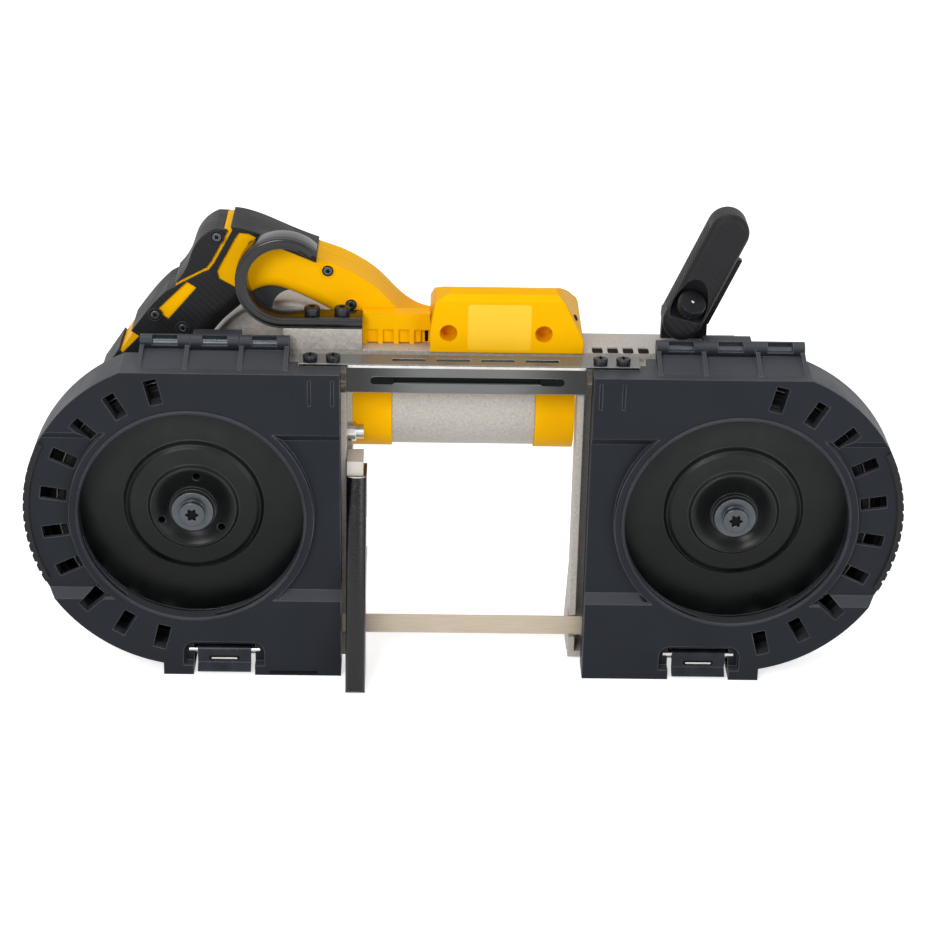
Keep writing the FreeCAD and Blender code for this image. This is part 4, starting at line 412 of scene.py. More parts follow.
class BandSawColours(bpy.types.PropertyGroup):
    """Colours that a user would change."""
    yellow: bpy.props.FloatVectorProperty(
        name="Yellow", description="Motor cover and handle shells", subtype="COLOR", size=4,
        default=hex_linear("#FFBD00"))
    guard: bpy.props.FloatVectorProperty(
        name="Guard", description="Wheel covers", subtype="COLOR", size=4,
        default=hex_linear("#22262D"))
    rubber: bpy.props.FloatVectorProperty(
        name="Grip", description="Rubber of the grips", subtype="COLOR", size=4,
        default=hex_linear("#1C1D1F"))
    silver: bpy.props.FloatVectorProperty(
        name="Casting", description="Cast frame and motor tube", subtype="COLOR", size=4,
        default=hex_linear("#D2CCC4"))
    enamel: bpy.props.FloatVectorProperty(
        name="Enamel", description="Hanging hook", subtype="COLOR", size=4,
        default=hex_linear("#0A0A0B"))
    wheel: bpy.props.FloatVectorProperty(
        name="Wheels", description="Wheel discs", subtype="COLOR", size=4,
        default=hex_linear("#121415"))
    blade: bpy.props.FloatVectorProperty(
        name="Blade", description="Blade steel", subtype="COLOR", size=4, default=hex_linear("#C9BDAC"))
    floor: bpy.props.FloatVectorProperty(
        name="Floor", description="Floor and backdrop", subtype="COLOR", size=4,
        default=hex_linear("#F6F6F6"))


class BandSawSizes(bpy.types.PropertyGroup):
    """Sizes of the small details."""
    tooth_pitch: bpy.props.FloatProperty(
        name="Tooth pitch", description="From tip to tip of the blade's teeth", default=1.8 * MM,
        unit="LENGTH")
    tooth_height: bpy.props.FloatProperty(
        name="Tooth height", description="Depth of the blade's gullets", default=0.9 * MM,
        unit="LENGTH")
    rib_pitch: bpy.props.FloatProperty(
        name="Grip rib pitch", description="From rib to rib on the paddle's edge", default=2.0 * MM,
        unit="LENGTH")
    hook_rounding: bpy.props.FloatProperty(
        name="Hook rounding", description="Radius of the hook bar's edges", default=2.6 * MM,
        unit="LENGTH")
    knob_ribs: bpy.props.IntProperty(
        name="Knob ribs", description="Ribs round the lock knob", default=26)


class BandSawCamera(bpy.types.PropertyGroup):
    """Where the photograph was taken from."""
    elevation: bpy.props.FloatProperty(
        name="Elevation", description="Angle above the horizon", default=math.radians(25.546),
        subtype="ANGLE")
    yaw: bpy.props.FloatProperty(
        name="Yaw", description="Turn about the vertical", default=math.radians(-1.016),
        subtype="ANGLE")
    roll: bpy.props.FloatProperty(
        name="Roll", description="Turn about the view axis", default=math.radians(1.107),
        subtype="ANGLE")
    distance: bpy.props.FloatProperty(
        name="Distance", description="From the middle of the saw", default=1.5, unit="LENGTH")


def colours():
    """The saw's colours as they are set."""
    return bpy.context.scene.band_saw_colours


def sizes():
    """The details' sizes as they are set."""
    return bpy.context.scene.band_saw_sizes


# how far off a line starts to look for a solid, in metres
LOOK_FROM = 0.3
WELD_GAP, SHARP_ANGLE = 0.001, math.radians(35)


def spot(x, y, z):
    """A point given in millimetres from the blade's plane, in the saw's frame."""
    return Vector((x, y + BLADE_Y, z)) * MM


def facing(point, normal):
    """The matrix that stands a shape drawn along Z on a point, along a normal."""
    return Matrix.Translation(point) @ UP.rotation_difference(normal).to_matrix().to_4x4()


def seat(node, x, z, side=FRONTWARD):
    """Where a line from one side meets a node, and the way its surface faces there."""
    hit, point, normal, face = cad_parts[node].ray_cast(spot(x, 0, z) + side * LOOK_FROM, -side)
    if not hit:
        raise RuntimeError(f"nothing of {node} lies at x {x}, z {z}")
    return point, normal


def placed(shape, point, normal=FRONTWARD):
    """Stands a shape drawn along Z on a point, along a normal."""
    bmesh.ops.transform(shape, verts=shape.verts, matrix=facing(point, normal))
    return shape


def stamp(target, source, matrix):
    """Adds a copy of one shape to another, placed by a matrix."""
    copy = source.copy()
    bmesh.ops.transform(copy, matrix=matrix, verts=copy.verts)
    mesh = bpy.data.meshes.new("stamp")
    copy.to_mesh(mesh)
    copy.free()
    target.from_mesh(mesh)
    bpy.data.meshes.remove(mesh)


def stamped(source, stands):
    """A shape of copies of another, one for each matrix; the other is used up."""
    shape = bmesh.new()
    for stand in stands:
        stamp(shape, source, stand)
    source.free()
    return shape


def piece(name, shape, finish, body="frame"):
    """Makes an object of a finished shape and lets it ride on a body."""
    bmesh.ops.remove_doubles(shape, verts=shape.verts, dist=WELD_GAP * MM)
    # extruding leaves the face it started from as a wall inside the shape
    inner = [face for face in shape.faces if all(len(edge.link_faces) > 2 for edge in face.edges)]
    bmesh.ops.delete(shape, geom=inner, context="FACES_ONLY")
    bmesh.ops.recalc_face_normals(shape, faces=shape.faces)
    recessed = any(face.material_index for face in shape.faces)
    mesh = bpy.data.meshes.new(name)
    shape.to_mesh(mesh)
    shape.free()
    mesh.shade_smooth()
    mesh.set_sharp_from_angle(angle=SHARP_ANGLE)
    mesh.materials.append(bpy.data.materials[finish])
    if recessed:
        mesh.materials.append(bpy.data.materials["shadowed_hollow"])
    made = bpy.data.objects.new(name, mesh)
    bpy.context.scene.collection.objects.link(made)
    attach(made, body)


def pulled(shape, faces, way):
    """Extrudes faces along a vector and gives back the new faces."""
    grown = bmesh.ops.extrude_face_region(shape, geom=faces)["geom"]
    verts = [item for item in grown if isinstance(item, bmesh.types.BMVert)]
    bmesh.ops.translate(shape, verts=verts, vec=way)
    return [item for item in grown if isinstance(item, bmesh.types.BMFace)]


def raised(shape, faces, height):
    """Extrudes faces by a height along Z and gives back the new faces."""
    return pulled(shape, faces, (0, 0, height * MM))


def round_off(shape, geom, rounding, segments, affect="EDGES"):
    """Rounds edges or corners of a shape."""
    bmesh.ops.bevel(shape, geom=list(geom), offset=rounding * MM, segments=segments, profile=0.5,
                    affect=affect, material=-1)


def round_column(radius, height, rounding, steps, segments, reshape=None):
    """A column along Z on a circle that a function may reshape, with its top edge rounded."""
    shape = bmesh.new()
    bmesh.ops.create_circle(shape, cap_ends=True, segments=segments, radius=radius * MM)
    for vert in shape.verts if reshape else ():
        reshape(vert)
    top = raised(shape, shape.faces[:], height)
    round_off(shape, top[0].edges, rounding, steps)
    return shape


def disc(radius, height, rounding, segments=36):
    """A round plate along Z with a rounded top edge; gives back the shape and its top face."""
    shape = round_column(radius, height, rounding, 3, segments)
    return shape, max(shape.faces, key=lambda face: face.calc_center_median().z)


# shares of a head's height, of a recess's mouth and of a well's rim and mouth
HEAD_ROUNDING, RECESS_TAPER = 0.55, 0.8
WELL_ROUNDING, WELL_INSET, WELL_TAPER = 0.6, 0.5, 0.92


def screw_head(radius, height, recess, depth, lobes=6, wave=0.2):
    """A screw head along Z with a star-shaped drive recess."""
    shape, top = disc(radius, height, height * HEAD_ROUNDING)
    flat = max(vert.co.xy.length for vert in top.verts)
    bmesh.ops.inset_region(shape, faces=[top], thickness=flat - recess * MM)
    for vert in top.verts:
        turn = math.atan2(vert.co.y, vert.co.x)
        vert.co.xy = vert.co.xy.normalized() * recess * MM * (1 + wave * math.cos(lobes * turn))
    floor = raised(shape, [top], -depth)[0]
    bmesh.ops.scale(shape, verts=list(floor.verts), vec=(RECESS_TAPER, RECESS_TAPER, 1))
    for edge in floor.edges:
        for face in edge.link_faces:
            face.material_index = 1
    return shape


def well(radius, rim, height, depth):
    """A round rim along Z with a sunk floor, such as the mouth of a screw hole."""
    shape, top = disc(radius, height, min(height, rim) * WELL_ROUNDING, 28)
    bmesh.ops.inset_region(shape, faces=[top], thickness=rim * MM * WELL_INSET)
    floor = raised(shape, [top], -depth)[0]
    bmesh.ops.scale(shape, verts=list(floor.verts), vec=(WELL_TAPER, WELL_TAPER, 1))
    return shape


def ring_bead(radius, thick):
    """A thin bead round the Z axis."""
    shape = bmesh.new()
    stand = Matrix.Translation((radius * MM, 0, 0)) @ Matrix.Rotation(QUARTER, 4, "X")
    bmesh.ops.create_circle(shape, segments=10, radius=thick * MM, matrix=stand)
    bmesh.ops.spin(shape, geom=shape.verts[:] + shape.edges[:], cent=(0, 0, 0), axis=UP,
                   angle=2 * math.pi, steps=96, use_merge=True)
    return shape


def slot_plate(length, width, height, rounding=0.1):
    """A bar with round ends, lying along X, raised along Z."""
    def lengthen(vert):
        vert.co.x += math.copysign((length - width) / 2 * MM, vert.co.x)
    return round_column(width / 2, height, rounding, 2, 20, lengthen)


def sheet(width, length, corner):
    """A flat sheet with round corners, lying in X and Y."""
    shape = bmesh.new()
    bmesh.ops.create_grid(shape, x_segments=1, y_segments=1, size=0.5)
    bmesh.ops.scale(shape, verts=shape.verts, vec=(width * MM, length * MM, 1))
    round_off(shape, shape.verts, corner, 5, "VERTICES")
    return shape


def plate(width, length, height, corner):
    """A flat plate with round corners, lying in X and Y, raised along Z."""
    shape = sheet(width, length, corner)
    raised(shape, shape.faces[:], height)
    return shape


def turned(shape, axis):
    """Turns a shape by a quarter about an axis."""
    bmesh.ops.rotate(shape, verts=shape.verts, matrix=Matrix.Rotation(QUARTER, 3, axis))
    return shape


class BANDSAW_OT_finishes(bpy.types.Operator):
    """Gives each solid of the saw its finish"""
    bl_idname = "band_saw.finishes"
    bl_label = "Finishes"

    def execute(self, context):
        for make, nodes in FINISHES.items():
            material = make()
            material.name = make.__name__
            for node in nodes:
                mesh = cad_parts[node].data
                mesh.materials.clear()
                mesh.materials.append(material)
        return {"FINISHED"}


HOOK_SECTION, HOOK_END, HOOK_Y, HOOK_BAR_Z = (7.3, 15.6), -62.7, 21.0, 219.95
HOOK_BEND_X, HOOK_BEND_Z, HOOK_SWEEP = -110.0, 244.95, math.radians(225)


class BANDSAW_OT_hook_jacket(bpy.types.Operator):
    """Wraps the flat hook in a bar with rounded edges"""
    bl_idname = "band_saw.hook_jacket"
    bl_label = "Hook jacket"

    def execute(self, context):
        shape = turned(sheet(*HOOK_SECTION, sizes().hook_rounding / MM), "Y")
        bmesh.ops.translate(shape, verts=shape.verts, vec=spot(HOOK_END, HOOK_Y, HOOK_BAR_Z))
        face = pulled(shape, shape.faces[:], ((HOOK_BEND_X - HOOK_END) * MM, 0, 0))[0]
        bmesh.ops.spin(shape, geom=[face, *face.edges, *face.verts],
                       cent=spot(HOOK_BEND_X, HOOK_Y, HOOK_BEND_Z), axis=(0, 1, 0), angle=HOOK_SWEEP,
                       steps=48)
        piece("hook_jacket", shape, "stove_enamel")
        return {"FINISHED"}


STOP_NORMAL, STOP_HEAD = Vector((0, -0.954, 0.3)).normalized(), (-65.6, -5.9, 128.6)
STOP_HALF, STOP_BULGE, STOP_LENGTH, STOP_ROUNDING = 6.05, 3.8, 133.0, 0.8


class BANDSAW_OT_stop_nose(bpy.types.Operator):
    """Gives the work stop its rounded front"""
    bl_idname = "band_saw.stop_nose"
    bl_label = "Work stop front"

    def execute(self, context):
        def flatten(vert):
            vert.co.y *= STOP_BULGE / STOP_HALF
        shape = round_column(STOP_HALF, STOP_LENGTH, STOP_ROUNDING, 2, 40, flatten)
        turn = Matrix((ASIDE, STOP_NORMAL, ASIDE.cross(STOP_NORMAL))).transposed().to_4x4()
        stand = Matrix.Translation(spot(*STOP_HEAD)) @ turn
        bmesh.ops.transform(shape, verts=shape.verts, matrix=stand)
        piece("stop_nose", shape, "wrinkle_paint", "work_stop")
        return {"FINISHED"}


BLADE_LOW, BLADE_REACH = 18.55, 101.0
# the teeth are thicker than the blade, lean by a share of their pitch and are set to both sides
TOOTH_THICK, TOOTH_LEAN, TOOTH_SET = 0.7, 0.2, 0.12


class BANDSAW_OT_blade_teeth(bpy.types.Operator):
    """Cuts fine set teeth along the blade's lower edge where it crosses the throat"""
    bl_idname = "band_saw.blade_teeth"
    bl_label = "Blade teeth"

    def execute(self, context):
        pitch, height = sizes().tooth_pitch, sizes().tooth_height
        count = round(2 * BLADE_REACH * MM / pitch)
        shape = bmesh.new()
        bmesh.ops.create_grid(shape, x_segments=2 * count, y_segments=1, size=0.5)
        bmesh.ops.scale(shape, verts=shape.verts, vec=(2 * BLADE_REACH * MM, 2 * height, 1))
        turned(shape, "X")
        for vert in shape.verts:
            if vert.co.z < 0:
                step = round((vert.co.x + BLADE_REACH * MM) / (pitch / 2))
                if step % 2:
                    vert.co.x += pitch * TOOTH_LEAN
                    vert.co.y += TOOTH_SET * MM * (1 if step % 4 == 1 else -1)
                else:
                    vert.co.z = 0
        bmesh.ops.dissolve_degenerate(shape, dist=WELD_GAP * MM, edges=shape.edges)
        bmesh.ops.recalc_face_normals(shape, faces=shape.faces)
        bmesh.ops.solidify(shape, geom=shape.faces[:], thickness=TOOTH_THICK * MM)
        bmesh.ops.translate(shape, verts=shape.verts, vec=spot(0, TOOTH_THICK / 2, BLADE_LOW))
        piece("blade_teeth", shape, "blade_steel")
        return {"FINISHED"}


WHEEL_BOLT, WHEEL_BOLT_Y = dict(radius=7.9, height=1.3, recess=3.6, depth=1.1), -19.0


class BANDSAW_OT_wheel_bolts(bpy.types.Operator):
    """Tops the two wheel bolts with heads that have a star recess"""
    bl_idname = "band_saw.wheel_bolts"
    bl_label = "Wheel bolts"

    def execute(self, context):
        for name, side, body in (("drive", -1, "drive_wheel"), ("idler", 1, "tension_slide")):
            middle = spot(side * WHEEL_X, WHEEL_BOLT_Y, AXLE_Z)
            piece(f"{name}_bolt_head", placed(screw_head(**WHEEL_BOLT), middle),
                  "grey_phosphate", body)
        return {"FINISHED"}


RAIL_SCREW = dict(radius=4.4, height=1.5, recess=1.9, depth=1.1, lobes=4, wave=0.45)
RAIL_SCREW_X, RAIL_SCREW_Y, RAIL_SCREW_Z = (-93.1, -79.5, 79.5, 93.1), -6.4, 206.6


class BANDSAW_OT_rail_screws(bpy.types.Operator):
    """Tops the rail's screws with heads that have a cross recess"""
    bl_idname = "band_saw.rail_screws"
    bl_label = "Rail screws"

    def execute(self, context):
        stands = [facing(spot(x, RAIL_SCREW_Y, RAIL_SCREW_Z), UP) for x in RAIL_SCREW_X]
        piece("rail_screw_heads", stamped(screw_head(**RAIL_SCREW), stands), "oxide_steel",
              "guard")
        return {"FINISHED"}


LATCHES = {"rear_latch": -147.5, "front_latch": 147.5}
LATCH_FACE_Y, LATCH_SLOT_Z = -20.4, 10.0
LATCH_PARTS = {"slot": (dict(length=19.0, width=2.8, height=0.3), "shadowed_hollow", "black_plastic"),
               "spring": (dict(length=16.0, width=1.2, height=0.55), "ground_steel", "bright_steel")}


class BANDSAW_OT_latch_slots(bpy.types.Operator):
    """Adds the latches' dark slots and the bright springs in them"""
    bl_idname = "band_saw.latch_slots"
    bl_label = "Latch slots"

    def execute(self, context):
        for latch, x in LATCHES.items():
            for part, (bar, finish, slot) in LATCH_PARTS.items():
                shape = placed(slot_plate(**bar), spot(x, LATCH_FACE_Y, LATCH_SLOT_Z))
                piece(f"{latch}_{part}", shape, finish, latch)
        return {"FINISHED"}


RAIL_FACE_Y, RAIL_SLOT_Y, RAIL_SLOT_Z, RAIL_HIGHLIGHT_Z = -11.0, -8.4, 193.6, 202.6
RAIL_SLOT = dict(length=124.0, width=9.0, height=0.4)
RAIL_SLOT_END, RAIL_SLOT_END_X = dict(length=14.5, width=4.6, height=0.2, rounding=0.08), (-50.0, 51.0)
RAIL_HIGHLIGHT = dict(length=142.0, width=1.7, height=0.3, rounding=0.12)


class BANDSAW_OT_rail_face(bpy.types.Operator):
    """Adds the rail's long dark slot with its wide ends, and a bright steel line along its bend that is
    a painted highlight
    """
    bl_idname = "band_saw.rail_face"
    bl_label = "Rail face"

    def execute(self, context):
        backing = placed(slot_plate(**RAIL_SLOT), spot(0, RAIL_SLOT_Y, RAIL_SLOT_Z))
        end = slot_plate(**RAIL_SLOT_END)
        for x in RAIL_SLOT_END_X:
            stamp(backing, end, facing(spot(x, RAIL_FACE_Y, RAIL_SLOT_Z), FRONTWARD))
        end.free()
        piece("rail_slot_backing", backing, "shadowed_hollow", "guard")
        # a bright steel strip stands in for the highlight along the bend, a painted highlight
        shape = placed(slot_plate(**RAIL_HIGHLIGHT), spot(0, RAIL_FACE_Y, RAIL_HIGHLIGHT_Z))
        piece("rail_bend_highlight", shape, "ground_steel", "guard")
        return {"FINISHED"}


GUARD_FRONT_Y, LIP_RADIUS, LIP_THICK = -24.0, 69.0, 1.2
FOOT_SLOT, FOOT_SLOT_X, FOOT_SLOT_Z = dict(length=30.0, width=2.0, height=0.25), -104.5, 2.2


class BANDSAW_OT_guard_face(bpy.types.Operator):
    """Adds the lips of the guard's round openings and the slot in its foot"""
    bl_idname = "band_saw.guard_face"
    bl_label = "Guard face"

    def execute(self, context):
        stands = [facing(spot(side * WHEEL_X, GUARD_FRONT_Y, AXLE_Z), FRONTWARD) for side in (-1, 1)]
        piece("opening_lips", stamped(ring_bead(LIP_RADIUS, LIP_THICK), stands), "moulded_abs_guard",
              "guard")
        shape = placed(slot_plate(**FOOT_SLOT), spot(FOOT_SLOT_X, GUARD_FRONT_Y, FOOT_SLOT_Z))
        piece("guard_foot_slot", shape, "shadowed_hollow", "guard")
        return {"FINISHED"}


HOOK_SCREW = dict(radius=4.8, height=2.0, recess=1.9, depth=1.2, wave=0.12)
HOOK_SCREW_X, HOOK_SCREW_Z = (-93.0, -75.0), 226.1


class BANDSAW_OT_hook_screws(bpy.types.Operator):
    """Tops the hook's screws with button heads"""
    bl_idname = "band_saw.hook_screws"
    bl_label = "Hook screws"

    def execute(self, context):
        stands = [facing(spot(x, HOOK_Y, HOOK_SCREW_Z), UP) for x in HOOK_SCREW_X]
        piece("hook_screw_heads", stamped(screw_head(**HOOK_SCREW), stands), "oxide_steel")
        return {"FINISHED"}


SHELL_SCREWS = [(-84.0, 246.0), (-43.5, 217.0), (-70.0, 224.5)]
GRIP_SCREWS = [(-150.0, 267.0), (-188.5, 217.0), (-172.0, 208.6)]
SCREW_WELL = dict(radius=4.7, rim=1.2, height=0.8, depth=0.7)
WELL_FLOOR = dict(radius=3.7, height=0.35, rounding=0.1, segments=28)
WELL_SCREW = dict(radius=2.8, height=0.6, recess=1.3, depth=0.4)


class BANDSAW_OT_handle_screws(bpy.types.Operator):
    """Sinks the screws of the handle's shells and grip in round wells"""
    bl_idname = "band_saw.handle_screws"
    bl_label = "Handle screws"

    def execute(self, context):
        lift = Matrix.Translation((0, 0, WELL_FLOOR["height"] * MM))
        for name, node, places, finish, slot in (
                ("shell", "handle_shell_front", SHELL_SCREWS, "filled_nylon_yellow", "yellow_plastic"),
                ("grip", "grip_overmold", GRIP_SCREWS, "overmould_rubber", "grip_rubber")):
            stands = [facing(*seat(node, x, z)) for x, z in places]
            piece(f"{name}_screw_rings", stamped(well(**SCREW_WELL), stands), finish)
            piece(f"{name}_screw_floors", stamped(disc(**WELL_FLOOR)[0], stands), "shadowed_hollow")
            stands = [stand @ lift for stand in stands]
            piece(f"{name}_screws", stamped(screw_head(**WELL_SCREW), stands), "grey_phosphate")
        return {"FINISHED"}


COVER_FRONT_Y, LABEL_MIDDLE = 11.5, (19.5, 219.5)
LABEL = dict(width=38.0, length=29.0, height=0.15, corner=1.5)


class BANDSAW_OT_blank_label(bpy.types.Operator):
    """Sticks a bare label on the motor cover"""
    bl_idname = "band_saw.blank_label"
    bl_label = "Blank label"

    def execute(self, context):
        x, z = LABEL_MIDDLE
        piece("blank_label", placed(plate(**LABEL), spot(x, COVER_FRONT_Y, z)), "label_film")
        return {"FINISHED"}


SADDLE_WALL_Y, SADDLE_SLOT_X, SADDLE_SLOT_Z = 28.0, -24.2, 207.6
SADDLE_SLOT = dict(length=8.0, width=2.2, height=0.25)
INFILL, INFILL_X, INFILL_Z = dict(width=34.5, length=10.2, height=2.0, corner=0.6), -44.75, 208.9


class BANDSAW_OT_saddle(bpy.types.Operator):
    """Adds the slot in the saddle under the handle's neck and the wall between its ribs"""
    bl_idname = "band_saw.saddle"
    bl_label = "Saddle"

    def execute(self, context):
        shape = placed(turned(slot_plate(**SADDLE_SLOT), "Z"),
                       spot(SADDLE_SLOT_X, SADDLE_WALL_Y, SADDLE_SLOT_Z))
        piece("saddle_slot", shape, "shadowed_hollow")
        shape = placed(plate(**INFILL), spot(INFILL_X, SADDLE_WALL_Y, INFILL_Z))
        piece("saddle_infill", shape, "filled_nylon_yellow")
        return {"FINISHED"}


VENT, VENT_COUNT, VENT_PITCH = dict(width=6.4, length=7.0, height=0.12, corner=1.2), 4, 9.3
VENT_X, VENT_Y, VENT_Z = 79.0, 17.1, 203.3


class BANDSAW_OT_spine_vents(bpy.types.Operator):
    """Darkens the row of vents in the frame's spine"""
    bl_idname = "band_saw.spine_vents"
    bl_label = "Spine vents"

    def execute(self, context):
        stands = [facing(spot(VENT_X + VENT_PITCH * index, VENT_Y, VENT_Z), UP)
                  for index in range(VENT_COUNT)]
        piece("spine_vents", stamped(plate(**VENT), stands), "shadowed_hollow")
        return {"FINISHED"}


COVER_NUB = dict(radius=2.0, height=1.4, recess=0.8, depth=0.4)
COVER_NUB_PLACE, COVER_NUB_FACING = (65.2, 24.7, 221.3), Vector((0.9, 0, 0.44)).normalized()


class BANDSAW_OT_cover_nub(bpy.types.Operator):
    """Adds the black nub on the motor cover's end"""
    bl_idname = "band_saw.cover_nub"
    bl_label = "Cover nub"

    def execute(self, context):
        shape = placed(screw_head(**COVER_NUB), spot(*COVER_NUB_PLACE), COVER_NUB_FACING)
        piece("cover_nub", shape, "spark_nylon")
        return {"FINISHED"}


CROWN, CROWN_PLACE = dict(radius=52.0, height=24.0, rounding=4.0, segments=72), (-112.0, 84.0, 165.0)
CASE_SCREW = dict(radius=3.6, height=2.4, recess=1.6, depth=1.4)
# four screws at the corners, the others on a circle round the drive axle
CASE_SCREW_X, CASE_SCREW_Z = (-160.0, -78.0), (174.0, 145.0)
LOBE_SCREW_RADIUS, LOBE_SCREW_TURNS = 37.0, (10, 150, 205, 270, 325)


class BANDSAW_OT_gear_case(bpy.types.Operator):
    """Adds the rise of the gear case behind the trigger and the screws on its back"""
    bl_idname = "band_saw.gear_case"
    bl_label = "Gear case"

    def execute(self, context):
        shape = placed(disc(**CROWN)[0], spot(*CROWN_PLACE))
        piece("gear_case_crown", shape, "blasted_aluminium")
        places = [(x, z) for z in CASE_SCREW_Z for x in CASE_SCREW_X]
        for turn in map(math.radians, LOBE_SCREW_TURNS):
            places.append((-WHEEL_X + LOBE_SCREW_RADIUS * math.cos(turn),
                           AXLE_Z + LOBE_SCREW_RADIUS * math.sin(turn)))
        stands = [facing(*seat("gear_case", x, z, -FRONTWARD)) for x, z in places]
        piece("gear_case_screws", stamped(screw_head(**CASE_SCREW), stands), "oxide_steel")
        return {"FINISHED"}


THROAT_SCREW = dict(radius=3.0, height=3.2, recess=1.4, depth=1.2)
THROAT_SCREW_PLACE = (-72.0, 17.0, 132.0)
BUSH, BUSH_PLACE = dict(radius=6.0, height=5.5, rounding=0.7), (-72.0, 20.4, 147.0)
BUSH_RIM, BUSH_PIN = 1.0, 4.5


class BANDSAW_OT_throat_fittings(bpy.types.Operator):
    """Adds the screw and the stepped bush on the throat's rear wall"""
    bl_idname = "band_saw.throat_fittings"
    bl_label = "Throat fittings"

    def execute(self, context):
        shape = placed(screw_head(**THROAT_SCREW), spot(*THROAT_SCREW_PLACE), ASIDE)
        piece("throat_screw", shape, "oxide_steel")
        shape, top = disc(**BUSH)
        bmesh.ops.inset_region(shape, faces=[top], thickness=BUSH_RIM * MM)
        raised(shape, [top], BUSH_PIN)
        piece("throat_bush", placed(shape, spot(*BUSH_PLACE), ASIDE), "ground_steel")
        return {"FINISHED"}


PADDLE_PIVOT, PADDLE_LEAN, PADDLE_RUN = (133.0, 28.0, 229.0), math.radians(66.0), (-4.0, 50.0)
RIB, RIB_SEAT = dict(length=13.0, width=1.1, height=0.45, rounding=0.4), 11.9


class BANDSAW_OT_paddle_ribs(bpy.types.Operator):
    """Ribs the edge of the front paddle"""
    bl_idname = "band_saw.paddle_ribs"
    bl_label = "Paddle ribs"

    def execute(self, context):
        along = Vector((math.cos(PADDLE_LEAN), 0, math.sin(PADDLE_LEAN)))
        outward = Vector((-math.sin(PADDLE_LEAN), 0, math.cos(PADDLE_LEAN)))
        turn = Matrix((along, -FRONTWARD, outward)).transposed().to_4x4()
        pitch = sizes().rib_pitch
        first = spot(*PADDLE_PIVOT) + (along * PADDLE_RUN[0] + outward * RIB_SEAT) * MM
        count = round((PADDLE_RUN[1] - PADDLE_RUN[0]) * MM / pitch) + 1
        stands = [Matrix.Translation(first + along * pitch * index) @ turn for index in range(count)]
        piece("paddle_edge_ribs", stamped(turned(slot_plate(**RIB), "Z"), stands), "overmould_rubber",
              "front_handle")
        return {"FINISHED"}


KNOB_AXIS, KNOB_SEAT = Vector((0.21, -0.565, 0.8)).normalized(), (133.0, 17.0, 231.4)
# the ribbed shank and the cap on it: radius, and start and end along the knob's axis
SHANK_RADIUS, SHANK_RUN, SHANK_WAVE = 7.7, (0.9, 4.7), 0.03
CAP_RADIUS, CAP_RUN, CAP_ROUNDING = 8.4, (4.6, 7.2), 0.9
CENTRE = dict(radius=1.1, height=0.5, rounding=0.45, segments=16)


class BANDSAW_OT_lock_knob(bpy.types.Operator):
    """Gives the paddle's lock knob its ribs, its cap and its bright centre"""
    bl_idname = "band_saw.lock_knob"
    bl_label = "Lock knob"

    def execute(self, context):
        def along(distance):
            return spot(*KNOB_SEAT) + KNOB_AXIS * distance * MM
        count = sizes().knob_ribs
        shape = bmesh.new()
        bmesh.ops.create_circle(shape, cap_ends=True, segments=4 * count, radius=SHANK_RADIUS * MM)
        for vert in shape.verts:
            vert.co.xy *= 1 + SHANK_WAVE * (math.cos(math.atan2(vert.co.y, vert.co.x) * count) > 0)
        raised(shape, shape.faces[:], SHANK_RUN[1] - SHANK_RUN[0])
        cap = disc(CAP_RADIUS, CAP_RUN[1] - CAP_RUN[0], CAP_ROUNDING, 48)[0]
        for name, part, place, finish, slot in (
                ("ribs", shape, SHANK_RUN[0], "spark_nylon", "black_plastic"),
                ("cap", cap, CAP_RUN[0], "spark_nylon", "black_plastic"),
                ("centre", disc(**CENTRE)[0], CAP_RUN[1], "ground_steel", "bright_steel")):
            piece(f"knob_{name}", placed(part, along(place), KNOB_AXIS), finish,
                  "handle_lock_knob")
        return {"FINISHED"}


# the stage, in metres and watts
WHITE = (1.0, 1.0, 1.0, 1.0)
FLOOR_HALF, FLOOR_ROUGHNESS, FLOOR_LIFT = 6.0, 0.9, 0.62
ROOM_LIGHT, ROOM_SEEN = 0.42, 1.0
LAMPS = {"key": dict(place=(-0.7, -1.8, 1.2), size=0.9, power=23.0),
         "fill": dict(place=(1.3, -1.5, 0.6), size=1.2, power=10.0),
         "top": dict(place=(-0.2, 0.2, 2.0), size=0.7, power=9.0)}
LAMP_TARGET = Vector((0, 0, 0.12))
VIEW_TARGET, VIEW_END = Vector((0, -0.03875, 0.108)), 20.0
# the photograph's side, focal length and optical centre in pixels, and the film's width in millimetres
IMAGE_SIDE, FOCAL, OPTICAL_CENTRE, FILM_WIDTH = 944, 2471.2, (464.25, 516.75), 36.0


def ray_mask(tree, kinds):
    """1 for rays of any of the kinds, 0 for the rest."""
    path, mask = add(tree, "LightPath"), 0.0
    for kind in kinds:
        mask = add(tree, "Math", {0: mask, 1: path.outputs[f"Is {kind} Ray"]},
                   operation="MAXIMUM").outputs["Value"]
    return mask


def add_floor(scene):
    """A floor of white paper, lifted to white where it is seen directly or mirrored."""
    material, tree, shader = start("paper_floor")
    for socket, value in (("Base Color", tuple(colours().floor)), ("Roughness", FLOOR_ROUGHNESS),
                          ("Specular IOR Level", 0.0)):
        shader.inputs[socket].default_value = value
    paper = shader.outputs["BSDF"]
    lift = add(tree, "Emission", {"Color": WHITE, "Strength": FLOOR_LIFT})
    lifted = add(tree, "AddShader", {0: paper, 1: lift.outputs[0]})
    seen = ray_mask(tree, ("Camera", "Glossy"))
    mix = add(tree, "MixShader", {0: seen, 1: paper, 2: lifted.outputs[0]})
    output = next(node for node in tree.nodes if node.bl_idname == "ShaderNodeOutputMaterial")
    tree.links.new(mix.outputs[0], output.inputs["Surface"])
    shape, mesh = bmesh.new(), bpy.data.meshes.new("floor")
    bmesh.ops.create_grid(shape, x_segments=1, y_segments=1, size=FLOOR_HALF)
    shape.to_mesh(mesh)
    shape.free()
    mesh.materials.append(material)
    floor = bpy.data.objects.new("floor", mesh)
    scene.collection.objects.link(floor)


